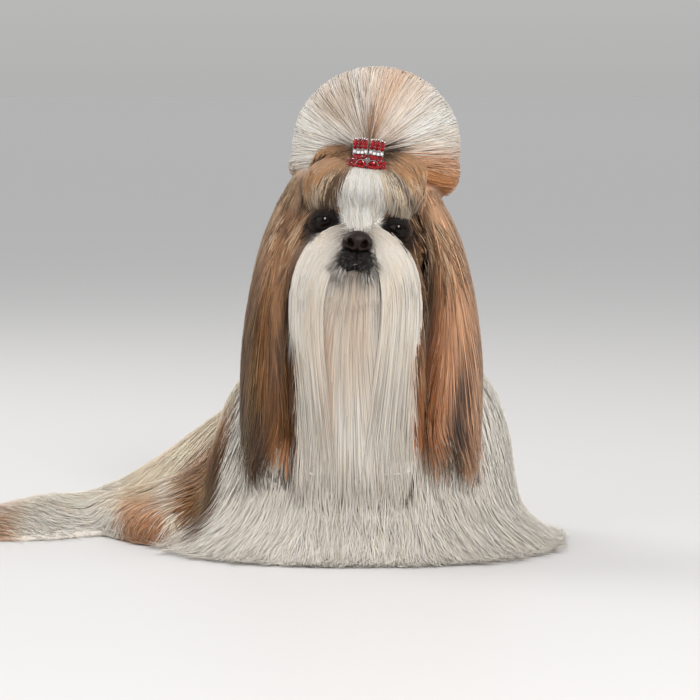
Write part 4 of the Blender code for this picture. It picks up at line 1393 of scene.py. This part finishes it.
def plant_bristles(unwrap):
    """Short stiff hairs that stand out round the dark skin of the lips."""
    chance = np.random.default_rng(41)
    count, steps = 900, 5
    side = np.where(chance.random(count) < 0.5, -1.0, 1.0)
    turn = np.radians(chance.uniform(-95, 55, count))
    open_angle = np.radians(chance.uniform(8, 80, count))
    inner = smooth(open_angle, 0.85, 0.55)
    turn = turn + inner * chance.uniform(-2.4, 2.4, count)
    rim = np.stack([np.cos(turn) * side, 0 * turn, np.sin(turn)], axis=1)
    out = rim * np.sin(open_angle)[:, None] + np.array((0.0, -1.0, 0.0)) * np.cos(open_angle)[:, None]
    middle = np.stack([LIP_SPREAD * side - 0.001, 0 * side + LIP_PLACE[0], 0 * side + LIP_PLACE[1]], axis=1)
    roots = middle + out * np.array(LIP_RADII) * 0.96
    way = unit(rim + np.array((0.0, -0.20, -0.55)))
    upper = smooth(rim[:, 2], 0.15, 0.45)
    short = 1 - np.maximum(0.72 * inner, 0.55 * upper)
    reach = (chance.uniform(0.0040, 0.0130, count) * short)[:, None, None]
    run = np.linspace(0, 1, steps)[None, :, None]
    curl = np.array((0.0, 0.25, -0.55))
    paths = roots[:, None] + reach * (run * way[:, None] + run**2 * 0.5 * curl)
    spin = np.array(HEAD)[:3, :3]
    paths = paths @ spin.T + np.array(HEAD)[:3, 3]
    sides = np.broadcast_to((out @ spin.T)[:, None], paths.shape).copy()
    widths = thickness(chance, count, 0.0004, 1.2) * (1 - 0.3 * inner)
    colours = painted(paths, bristle_colour, chance, 0.0005)
    dark = np.maximum(smooth(inner, 0.0, 0.3), 0.7 * upper)
    colours = colours + (tone(30, 25, 24) - colours) * (dark * chance.uniform(0.9, 1.0, count))[:, None, None]
    coat_piece("coat_bristles", paths, sides, widths, colours, unwrap)


def plant_beard(surface, unwrap):
    """The sides and the back of the beard."""
    chance = np.random.default_rng(19)

    def heading(spot, normals, share):
        return np.broadcast_to(-UP, spot.shape)

    def hem(spot, out):
        return spot[:, 2] < 0.066

    across, height = surface.centres[:, 0] - BEARD_MIDDLE, surface.centres[:, 2]
    fall = smooth(surface.normals[:, 1], -0.80, -0.45) * smooth(height, 0.060, 0.085)
    edge = smooth(np.abs(across), 0.040, 0.046) * smooth(height, 0.19, 0.16)
    fall = np.maximum(fall, edge) * (1 + edge)
    count = 1800
    roots = surface.scatter(count, fall, chance)
    lengths = np.minimum(roots[:, 2] - 0.044, chance.uniform(0.06, 0.11, count))
    lengths = np.maximum(lengths + chance.normal(0, 0.006, count), 0.012)
    paths, sides = grow(
        surface, roots, heading, lengths, 6, chance, bury=0.002, lift=0.001, wander=0.05, hem=hem
    )
    paths = gathered(paths, 0.006, 0.4, chance)
    widths = thickness(chance, count, 0.0010)
    colours = painted(paths, beard_colour, chance, 0.002)
    coat_piece("coat_beard", paths, sides, widths, colours, unwrap)


def plant_ear(surface, body, side, name, paint, unwrap):
    """One ear's long hair, falling to ragged ends beside the beard."""
    chance = np.random.default_rng(23 + side)

    def heading(spot, normals, share):
        top = smooth(spot[:, 2], 0.230, 0.275)[:, None]
        return -UP + top * np.array((0.45 * side, -0.10, 0.0))

    def hem(spot, out):
        return spot[:, 2] < 0.078

    centres = surface.centres
    density = (0.55 + 1.4 * smooth(centres[:, 2], 0.13, 0.27)) * smooth(centres[:, 2], 0.072, 0.10)
    inward = surface.normals[:, 0] * -side
    density = density * smooth(inward, 0.97, 0.75)
    count = 3200
    roots = surface.scatter(count, density, chance)
    share = ear_share(roots)
    ragged = woven(45, share * 7, roots[:, 1] / 0.02, side)
    tips = 0.068 - 0.026 * ragged + 0.012 * smooth(share, 0.35, 0.0) + chance.normal(0, 0.005, count)
    lengths = np.maximum(np.minimum(roots[:, 2] - tips, chance.uniform(0.075, 0.17, count)), 0.012)
    paths, sides = grow(
        surface, roots, heading, lengths, 7, chance, bury=0.002, lift=0.0009, wander=0.045, hem=hem
    )
    high = smooth(paths[:, 0, 2], 0.245, 0.270)[:, None]
    paths[:, 0] += 0.0024 * high * sides[:, 0]
    paths = gathered(paths, 0.008, 0.5, chance)
    flick = smooth(paths[:, :, 2], 0.115, 0.060) ** 2
    sweep = side * (0.012 * bump(share, 0.62, 0.30) - 0.003 * smooth(share, 0.3, 0.0))
    paths[:, :, 0] += flick * sweep[:, None]
    inner = (smooth(share, 0.55, 0.95)[:, None] * smooth(paths[:, :, 2], 0.190, 0.115))[:, :, None]
    paths = paths + inner * np.array((-0.0055 - 0.0030 * side, -0.0070, 0.0)) * np.array((side, 1.0, 1.0))
    pushed = kept_out(paths, body, 0.001)
    paths = np.where((paths[:, :, 2] < 0.11)[:, :, None], pushed, paths)
    widths = thickness(chance, count, 0.0009)
    colours = painted(paths, paint, chance, 0.0026, 0.15)
    coat_piece("coat_" + name, paths, sides, widths, colours, unwrap)


# Eyes, nose and lips, in the head's own frame


NOSE_MIDDLE = (-0.0010, -0.0345, -0.0108)
LIP_SPREAD = 0.0066
LIP_PLACE = (-0.0318, -0.0262)
LIP_RADII = (0.0080, 0.0066, 0.0092)
CORNEA_RISE = 0.05

# The opening between the lids: half its width, and its height above and below the middle.
HALF_WIDE = 0.0067
HALF_ABOVE = 0.0040
HALF_BELOW = 0.0043

# The rim's section: how far past the opening's edge in radians, and the height over the eyeball.
LID_SECTION = (
    (-0.02, -0.0002), (0.00, 0.0003), (0.03, 0.0008), (0.09, 0.0011), (0.18, 0.0009), (0.24, 0.0011),
    (0.32, 0.0006), (0.40, -0.0002), (0.46, -0.0022), (0.34, -0.0026), (0.20, -0.0008),
)
LID_STEPS = 56


def linked(name, mesh, finish, place, stands_for=()):
    """A piece made of a mesh, riding with the body."""
    piece = placed(name, mesh)
    piece.matrix_world = Matrix.Translation(Vector(SHIFT)) @ place
    mesh.materials.clear()
    mesh.materials.append(finish)
    mesh.shade_smooth()
    return registered(piece, stands_for)


def eye_material():
    """A near-black pupil in a deep brown iris with radial fibres, under a wet cornea."""
    made, tree, shader = material("eyeball", (0.02, 0.01, 0.006), 0.03, IOR=1.34, Specular_IOR_Level=0.35)
    apart = add_node(tree, "ShaderNodeSeparateXYZ", spot_of(tree)).outputs
    flat = add_node(tree, "ShaderNodeCombineXYZ", apart["X"], apart["Z"]).outputs["Vector"]
    reach = add_node(tree, "ShaderNodeVectorMath", flat, operation="LENGTH").outputs["Value"]
    ramp = add_node(tree, "ShaderNodeValToRGB", ranged(tree, reach, 0.0, 1.0, From_Max=EYE_RADIUS))
    stops = (
        (0.00, (0.002, 0.0015, 0.0015)), (0.27, (0.002, 0.0015, 0.0015)), (0.31, (0.009, 0.005, 0.003)),
        (0.52, (0.006, 0.003, 0.002)), (0.60, (0.002, 0.0015, 0.001)), (0.70, (0.02, 0.014, 0.012)),
    )
    bands = ramp.color_ramp.elements
    while len(bands) < len(stops):
        bands.new(0.5)
    for band, (spot, colour) in zip(bands, stops):
        band.position = spot
        band.color = (*colour, 1.0)
    turned = add_node(tree, "ShaderNodeVectorMath", flat, operation="NORMALIZE").outputs["Vector"]
    feed(tree, shader.inputs["Base Color"], varied(tree, ramp.outputs["Color"], 14.0, 0.55, 1.5, turned))
    return made


def eye_place(side):
    """The middle of an eyeball in the dog's frame."""
    return HEAD @ Matrix.Translation((PUPIL_SPACING / 2 * side, EYE_DEPTH, 0.0))


def make_eye(side, word):
    place = eye_place(side) @ Matrix.Rotation(radians(5 * side), 4, "Z")
    make_eyeball(word, place)
    make_lids(side, word, place)


def make_eyeball(word, place):
    """A ball whose front bulges into the cornea."""
    work = bmesh.new()
    bmesh.ops.create_uvsphere(work, u_segments=48, v_segments=32, radius=EYE_RADIUS)
    bmesh.ops.rotate(work, verts=work.verts, matrix=Matrix.Rotation(pi / 2, 3, "X"))
    for vert in work.verts:
        bulge = max(0.0, -vert.co.y / EYE_RADIUS) ** 14
        vert.co *= 1 + CORNEA_RISE * bulge
    linked("eyeball_" + word, mesh_of(work, "eyeball"), EYE, place, ("eye_" + word,))


def make_lids(side, word, place):
    """The rolled dark rim of the lids, a ring of sections round the eye's opening."""
    work = bmesh.new()
    rings = []
    for index in range(LID_STEPS):
        angle = 2 * pi * index / LID_STEPS
        half_high = HALF_ABOVE if sin(angle) > 0 else HALF_BELOW
        corner = 1 + 0.14 * abs(cos(angle)) ** 9
        opening = corner / ((cos(angle) / HALF_WIDE) ** 2 + (sin(angle) / half_high) ** 2) ** 0.5
        tilt = angle - radians(7) * side
        ring = []
        for past, rise in LID_SECTION:
            swing = opening / EYE_RADIUS + past
            spot = Vector((sin(swing) * cos(tilt), -cos(swing), sin(swing) * sin(tilt))) * (EYE_RADIUS + rise)
            ring.append(work.verts.new(spot))
        rings.append(ring)
    for ring, after in zip(rings, rings[1:] + rings[:1]):
        for first in range(len(LID_SECTION)):
            second = (first + 1) % len(LID_SECTION)
            work.faces.new((ring[first], after[first], after[second], ring[second]))
    bmesh.ops.recalc_face_normals(work, faces=work.faces)
    lids = linked("lids_" + word, mesh_of(work, "lids"), DARK_SKIN, place)
    rounder = lids.modifiers.new("rounder", "SUBSURF")
    rounder.levels = rounder.render_levels = 1


def lash_colour(points):
    """Black to dark brown."""
    return layered(BLACK, ((44, 31, 24), noise(points, 0.0015, 63)))


def plant_lids(unwrap):
    """Short dark hair that lies outwards over the lids, from just past their rims."""
    chance = np.random.default_rng(43)
    for side, word in ((1, "left"), (-1, "right")):
        count, steps = 760, 5
        angle = chance.uniform(0, 2 * pi, count)
        swing = chance.uniform(0.52, 1.05, count) + 0.16 * np.abs(np.cos(angle))
        reach = chance.uniform(0.25, 0.70, count)
        shares = np.linspace(0, 1, steps)[None]
        place = swing[:, None] + reach[:, None] * shares
        lie = 0.5 * np.sin(angle - (pi / 2 - 1.9 * side)) + chance.normal(0, 0.15, count)
        turn = angle[:, None] + lie[:, None] * shares
        out = np.stack([np.sin(place) * np.cos(turn), -np.cos(place), np.sin(place) * np.sin(turn)], axis=-1)
        far = EYE_RADIUS + 0.0005 + 0.0026 * shares * chance.uniform(0.1, 1.0, count)[:, None]
        eye = np.array(eye_place(side))
        paths = (out * far[..., None]) @ eye[:3, :3].T + eye[:3, 3]
        sides = out @ eye[:3, :3].T
        widths = thickness(chance, count, 0.0004, 1.2)
        colours = painted(paths, lash_colour, chance, 0.0003, 0.25)
        brown = smooth(place, 0.90, 1.50)[..., None] * smooth(np.cos(angle) * side, -0.5, 0.3)[:, None, None]
        colours = colours + (tone(118, 82, 58) - colours) * brown * chance.uniform(0.2, 1.0, (count, 1, 1))
        coat_piece("coat_lids_" + word, paths, sides, widths, colours, unwrap)


def dark_skin_material(name, colour, roughness, pebbles, gloss):
    """Dark moist skin with a fine pebbled grain."""
    made, tree, shader = material(name, colour, roughness, Specular_IOR_Level=gloss)
    place = spot_of(tree)
    base = grained(tree, 260.0, 3.0, Vector=place)
    darker = [0.55 * part for part in colour]
    lighter = [min(1.0, 1.7 * part) for part in colour]
    feed(tree, shader.inputs["Base Color"], between(tree, base, darker, lighter))
    feed(tree, shader.inputs["Roughness"], ranged(tree, base, roughness - 0.1, roughness + 0.15))
    cells = add_node(tree, "ShaderNodeTexVoronoi", Vector=place, Scale=pebbles).outputs["Distance"]
    embossed(tree, shader, cells, 0.55, 0.0003)
    return made


def blob(work, centre, radii, turn=0.0):
    """A ball stretched to three radii and turned about Y."""
    turned = Matrix.Translation(Vector(centre)) @ Matrix.Rotation(turn, 4, "Y")
    place = turned @ Matrix.Diagonal((*radii, 1.0))
    bmesh.ops.create_uvsphere(work, u_segments=32, v_segments=20, radius=1.0, matrix=place)


def organic(name, blobs, voxel, carve):
    """Blobs joined into one soft form in the head's frame, then carved point by point."""
    work = bmesh.new()
    for centre, radii, turn in blobs:
        blob(work, centre, radii, turn)
    mesh = remeshed(mesh_of(work, name), voxel, 3)
    write_rows(mesh.vertices, "co", carve(np.array([vert.co for vert in mesh.vertices])))
    mesh.update()
    return mesh


def nose_form():
    """Leather of the nose: nostrils that open into a slit at each side, and the groove between."""
    middle = np.array(NOSE_MIDDLE)
    blobs = [(middle + (0, 0.0010, 0.0004), (0.0108, 0.0085, 0.0076), 0.0)]
    for side in (-1, 1):
        blobs.append((middle + (0.0066 * side, 0.0004, -0.0012), (0.0050, 0.0072, 0.0056), 0.25 * side))
        blobs.append((middle + (0.0028 * side, 0.0004, -0.0050), (0.0034, 0.0064, 0.0026), 0.0))

    def carve(points):
        reach = points - middle
        x, y, z = reach[:, 0], reach[:, 1], reach[:, 2]
        front = smooth(y, 0.000, -0.004)
        made = points.copy()
        for side in (-1, 1):
            lean = x * side - 0.0052 - 0.30 * (z + 0.0014)
            hole = np.exp(-((lean / 0.0021) ** 2 + ((z + 0.0014) / 0.0027) ** 2) ** 1.4)
            made[:, 1] += 0.0065 * hole * front
            along = np.clip((x * side - 0.0055) / 0.0050, 0, 1)
            slit = np.exp(-(((z + 0.0034 - 0.0016 * along) / 0.0009) ** 2)) * smooth(x * side, 0.0052, 0.0064)
            made[:, 1] += 0.0024 * slit * front * smooth(x * side, 0.0118, 0.0095)
        groove = np.exp(-((x / 0.0006) ** 2)) * smooth(z, 0.0010, -0.0012)
        made[:, 1] += 0.0014 * groove * front
        return made

    return organic("nose", blobs, 0.00055, carve)


def lip_form():
    """Dark upper lips in two lobes, with the split under the nose and the mouth's line."""
    blobs = [((-0.001, -0.0285, -0.0245), (0.0125, 0.0082, 0.0095), 0.0)]
    for side in (-1, 1):
        blobs.append(((LIP_SPREAD * side - 0.001, *LIP_PLACE), LIP_RADII, 0.35 * side))

    def carve(points):
        x, y, z = points[:, 0] + 0.001, points[:, 1], points[:, 2]
        front = smooth(y, -0.026, -0.031)
        made = points.copy()
        mouth = -0.0350 - 0.0030 * (np.abs(x) / 0.011) ** 1.6
        made[:, 1] += 0.0024 * np.exp(-(((z - mouth) / 0.0007) ** 2)) * front
        split = np.exp(-((x / 0.0007) ** 2)) * smooth(z, mouth - 0.001, mouth + 0.001)
        made[:, 1] += 0.0018 * split * front
        folds = noise(points * np.array((1.0, 0.3, 0.5)), 0.0016, 51) - 0.5
        made[:, 1] += 0.0005 * folds * front
        return made

    return organic("lips", blobs, 0.0006, carve)


def make_muzzle():
    linked("nose_leather", nose_form(), NOSE_SKIN, HEAD, ("nose",))
    linked("lips", lip_form(), DARK_SKIN, HEAD)


EYE = eye_material()
NOSE_SKIN = dark_skin_material("nose_leather", (0.012, 0.0062, 0.0052), 0.42, 900.0, 0.22)
DARK_SKIN = dark_skin_material("dark_skin", (0.006, 0.005, 0.005), 0.60, 1500.0, 0.12)


# Hair slides


CLIP_SPACING = 0.0124
CLIP_SIZE = (0.0115, 0.0010, 0.0220)
CRYSTAL_RADIUS = 0.0020
CLEAR_RADIUS = 0.0013
LOOP_RADIUS = 0.0030
LOOP_LEVEL = 0.0066

# Rings of a cut stone from its point to its table: radius, height and turn, for a stone of radius 1.
STONE_RINGS = (
    (0.45, -0.45, 0.0), (1.0, -0.05, 0.0), (1.0, 0.06, 0.0), (0.82, 0.26, pi / 8), (0.52, 0.42, 0.0),
)


def gem_material(name, deep, bright):
    """Cut crystal: each facet takes its own shade between a deep and a bright colour, a painted sparkle
    standing in for light caught in the cut.
    """
    made, tree, shader = material(name, deep, 0.06, IOR=1.5)
    facing = add_node(tree, "ShaderNodeNewGeometry").outputs["True Normal"]
    spread = (160.0, 160.0, 160.0)
    moved = add_node(tree, "ShaderNodeVectorMath", spot_of(tree), spread, facing, operation="MULTIPLY_ADD")
    grain = grained(tree, 3.1, 1.0, Vector=moved.outputs["Vector"])
    # Painted sparkle: facets lighter and darker at random, as if catching light.
    facet_sparkle = ranged(tree, grain, 0.0, 1.0, From_Min=0.38, From_Max=0.62)
    feed(tree, shader.inputs["Base Color"], between(tree, facet_sparkle, deep, bright))
    return made


def silver_material():
    made, tree, shader = material("silver", (0.72, 0.70, 0.68), 0.2, Metallic=1.0)
    grain = grained(tree, 900.0, 3.0, Vector=spot_of(tree))
    feed(tree, shader.inputs["Roughness"], ranged(tree, grain, 0.10, 0.32))
    feed(tree, shader.inputs["Base Color"], between(tree, grain, (0.50, 0.47, 0.45), (0.86, 0.84, 0.82)))
    return made


RED_GEM = gem_material("red_crystal", (0.022, 0.0003, 0.0006), (0.40, 0.007, 0.011))
CLEAR_GEM = gem_material("clear_crystal", (0.30, 0.31, 0.33), (0.92, 0.93, 0.95))
SILVER = silver_material()


def cut_stone(work, place, radius):
    """A round cut stone of eight sides, its table towards +Z."""
    rings = []
    for share, rise, turn in STONE_RINGS:
        ring = []
        for corner in range(8):
            angle = 2 * pi * corner / 8 + turn
            spot = Vector((cos(angle) * share, sin(angle) * share, rise)) * radius
            ring.append(work.verts.new(place @ spot))
        rings.append(ring)
    for low, high in zip(rings, rings[1:]):
        for corner in range(8):
            after = (corner + 1) % 8
            work.faces.new((low[corner], low[after], high[corner]))
            work.faces.new((low[after], high[after], high[corner]))
    work.faces.new(rings[-1])
    work.faces.new(rings[0][::-1])


def cut_stones(work, places, radius):
    """A cut stone at each place."""
    for place in places:
        cut_stone(work, place, radius)


def add_cylinder(work, place, radius, depth, sides):
    bmesh.ops.create_cone(
        work, cap_ends=True, segments=sides, radius1=radius, radius2=radius, depth=depth, matrix=place
    )


def settings_of(side):
    """Where the stones of one slide sit: upper red, lower red and clear."""
    upper, lower, clear = [], [], []
    upright = Matrix.Rotation(pi / 2, 4, "X")
    for lean in (-32, 4, 40):
        turn = radians(lean)
        far = LOOP_RADIUS + 0.0007
        width = 0.0039 if lean < 30 else 0.0034
        for column in (-1, 0, 1):
            spot = Vector((column * width, -0.0014 - far * cos(turn), LOOP_LEVEL - 0.0006 + far * sin(turn)))
            upper.append(Matrix.Translation(spot) @ Matrix.Rotation(pi / 2 - turn, 4, "X"))
    for row, (rise, forward) in enumerate(((-0.0030, 0.0040), (-0.0065, 0.0048), (-0.0100, 0.0050))):
        for column in range(3 if row == 0 else 2):
            across = (-0.0036 + 0.0038 * column) if row == 0 else (0.0026 + 0.0038 * column)
            spot = Vector(((across + 0.0010 * row) * side, -forward + 0.0006 * column, rise))
            lower.append(Matrix.Translation(spot) @ upright @ Matrix.Rotation(0.3 * side, 4, "Y"))
    for column in (-1.5, -0.5, 0.5, 1.5):
        spot = Vector((column * 0.0029, -0.0052 + 0.0003 * column**2, 0.0003 * column**2 - 0.0002))
        clear.append(Matrix.Translation(spot) @ upright)
    return upper, lower, clear


def add_rim(work, side, tube):
    """The thin arched rim round the open mouth of the lower loop."""
    steps = 20
    rings = []
    for step in range(steps + 1):
        angle = pi * step / steps
        middle = Vector((-0.0012 * side + 0.0046 * cos(angle), -0.0054, -0.0104 + 0.0050 * sin(angle)))
        out = Vector((cos(angle), 0.0, sin(angle)))
        ring = []
        for corner in range(6):
            turn = 2 * pi * corner / 6
            spot = middle + out * tube * cos(turn) + Vector((0.0, 1.0, 0.0)) * tube * sin(turn)
            ring.append(work.verts.new(spot))
        rings.append(ring)
    for ring, after in zip(rings, rings[1:]):
        for corner in range(6):
            second = (corner + 1) % 6
            work.faces.new((ring[corner], ring[second], after[second], after[corner]))
    work.faces.new(rings[0])
    work.faces.new(rings[-1][::-1])


def clip_metal(work, settings, side):
    """The plate, the bar between the loops, scalloped rims, and a cup with four claws for each stone."""
    bmesh.ops.create_cube(work, size=1.0, matrix=Matrix.Diagonal((*CLIP_SIZE, 1.0)))
    bar = Matrix.Translation((0.0, -0.0026, 0.0)) @ Matrix.Diagonal((CLIP_SIZE[0], 0.0042, 0.0022, 1.0))
    bmesh.ops.create_cube(work, size=1.0, matrix=bar)
    for places, radius in settings:
        for place in places:
            add_cylinder(work, place @ Matrix.Translation((0, 0, -0.0006)), radius, 0.0007, 16)
            for corner in range(4):
                angle = pi / 4 + corner * pi / 2
                spot = Vector((cos(angle) * radius, sin(angle) * radius, 0.0001))
                claw = place @ Matrix.Translation(spot)
                bmesh.ops.create_icosphere(work, subdivisions=1, radius=0.00026, matrix=claw)
    for step in range(7):
        spot = Vector(((step - 3) * 0.0017, -0.0016, 0.0106 - 0.00012 * (step - 3) ** 2))
        bmesh.ops.create_icosphere(work, subdivisions=2, radius=0.00075, matrix=Matrix.Translation(spot))
    add_rim(work, side, 0.00042)


def red_upper(work, places):
    """Nine stones on the front of a rolled loop."""
    middle = Matrix.Translation((0.0, -0.0014, LOOP_LEVEL - 0.0006))
    lying = Matrix.Rotation(pi / 2, 4, "Y") @ Matrix.Rotation(pi / 8, 4, "Z")
    add_cylinder(work, middle @ lying, LOOP_RADIUS, CLIP_SIZE[0], 8)
    cut_stones(work, places, CRYSTAL_RADIUS)


def red_lower(work, places, side):
    """Stones on the flared side of the lower loop, and its dark mouth."""
    blob(work, (0.0, -0.0022, -0.0035), (0.0056, 0.0026, 0.0024))
    blob(work, (0.0040 * side, -0.0022, -0.0080), (0.0030, 0.0026, 0.0040))
    blob(work, (-0.0012 * side, -0.0040, -0.0100), (0.0044, 0.0012, 0.0042))
    cut_stones(work, places, CRYSTAL_RADIUS)


def make_clip(side, word):
    """One slide: silver, with nine red crystals above and seven below a row of clear ones."""
    middle = Vector(BARRETTE) + Vector((CLIP_SPACING / 2 * side, 0.0, -0.0006 * side))
    place = Matrix.Translation(middle) @ Matrix.Rotation(radians(6 + 4 * side), 4, "Y")
    upper, lower, clear = settings_of(side)
    metal = [(upper, CRYSTAL_RADIUS), (lower, CRYSTAL_RADIUS), (clear, CLEAR_RADIUS)]
    pieces = (
        ("plate", SILVER, "silver", lambda work: clip_metal(work, metal, side)),
        ("stone_upper", RED_GEM, "red_stone", lambda work: red_upper(work, upper)),
        ("stone_lower", RED_GEM, "red_stone", lambda work: red_lower(work, lower, side)),
        ("beads", CLEAR_GEM, "clear_stone", lambda work: cut_stones(work, clear, CLEAR_RADIUS)),
    )
    for part, finish, slot, build in pieces:
        work = bmesh.new()
        build(work)
        bmesh.ops.recalc_face_normals(work, faces=work.faces)
        name = f"slide_{word}_{part}"
        piece = linked(name, mesh_of(work, name), finish, place, (f"barrette_{word}_{part}",))
        piece.data.shade_flat()


# Floor, light and camera


FLOOR_REACH = 150.0

# Where the camera stands, how many degrees it looks down, and its lens and sensor in millimetres.
CAMERA_PLACE = (-0.008, -2.3, 0.355)
CAMERA_PITCH = 5.04
LENS = 151.7
SENSOR = 36.0


def make_stage():
    work = bmesh.new()
    bmesh.ops.create_grid(work, x_segments=2, y_segments=2, size=FLOOR_REACH)
    floor = placed("floor", mesh_of(work, "floor"))
    made, tree, shader = material("floor", (0.56, 0.56, 0.565), 0.6)
    feed(tree, shader.inputs["Roughness"], ranged(tree, grained(tree, 3.0, 2.0), 0.50, 0.62))
    floor.data.materials.append(made)


def add_light(name, place, aim, size, power, colour):
    lamp = bpy.data.lights.new(name, "AREA")
    lamp.shape = "DISK"
    lamp.size = size
    lamp.energy = power
    lamp.color = colour
    holder = placed(name, lamp)
    holder.location = Vector(place) + Vector(SHIFT)
    holder.rotation_euler = (Vector(aim) - Vector(place)).to_track_quat("-Z", "Y").to_euler()


def make_light():
    """A pale surround, brighter above and behind the dog, and four soft lamps."""
    world = bpy.data.worlds.new("studio")
    world.use_nodes = True
    tree = world.node_tree
    apart = add_node(tree, "ShaderNodeSeparateXYZ", spot_of(tree, "Generated")).outputs
    above = ranged(tree, apart["Z"], HORIZON, 1.0, From_Min=0.0, From_Max=0.5)
    behind = ranged(tree, apart["Y"], 0.45, 1.0, From_Min=-1.0, From_Max=1.0)
    both = add_node(tree, "ShaderNodeMath", above, behind, operation="MULTIPLY")
    backdrop = tree.nodes["Background"]
    backdrop.inputs["Color"].default_value = (0.99, 0.985, 0.98, 1.0)
    feed(tree, backdrop.inputs["Strength"], both.outputs["Value"])
    bpy.context.scene.world = world
    aim = (0.0, 0.0, 0.17)
    add_light("key", (0.6, -1.7, 1.5), aim, 0.65, 34.0, (1.0, 0.96, 0.91))
    add_light("fill", (-2.4, -2.0, 1.4), aim, 3.2, 27.0, (1.0, 0.98, 0.96))
    add_light("side", (2.0, 0.1, 0.8), aim, 1.2, 11.0, (1.0, 0.98, 0.95))
    add_light("rim", (-1.3, 0.9, 1.7), aim, 1.2, 24.0, (1.0, 0.98, 0.95))
    bpy.context.scene.view_settings.view_transform = "Standard"


def make_camera():
    """The photo's own view."""
    lens = bpy.data.cameras.new("camera")
    lens.sensor_width = SENSOR
    lens.lens = LENS
    lens.clip_start = 0.05
    holder = placed("camera", lens)
    holder.location = Vector(CAMERA_PLACE) + Vector(SHIFT)
    holder.rotation_euler = (radians(90 - CAMERA_PITCH), 0.0, 0.0)
    bpy.context.scene.camera = holder


def write_sizes():
    bpy.context.view_layer.update()


def main():
    whole = Surface(ALL_NODES, VOXEL)
    labels = nodes_near(whole.centres)
    point_labels = nodes_near(whole.points)
    unwrap = Unwrap(whole)
    skin = make_skin(whole, point_labels)
    body = Surface((*FLESH, *LEGS), BODY_VOXEL)
    plant_body(whole, labels, unwrap)
    plant_face(whole, labels, unwrap)
    plant_brow(whole, labels, unwrap)
    plant_nape(whole, labels, unwrap)
    plant_cheeks(whole, labels, unwrap)
    plant_moustache(whole, skin, unwrap)
    plant_chin(whole, skin, unwrap)
    plant_bristles(unwrap)
    plant_lids(unwrap)
    plant_wisps(whole, unwrap)
    plant_beard(Surface(("beard",), VOXEL), unwrap)
    make_muzzle()
    for side, word in ((1, "left"), (-1, "right")):
        make_eye(side, word)
        make_clip(side, word)
    plant_ear(Surface(("ear_left",), VOXEL), body, 1, "ear_left", left_ear_colour, unwrap)
    plant_ear(Surface(("ear_right",), VOXEL), body, -1, "ear_right", right_ear_colour, unwrap)
    plant_topknot(Surface(("topknot",), VOXEL), unwrap)
    make_stage()
    make_light()
    make_camera()
    write_sizes()


main()
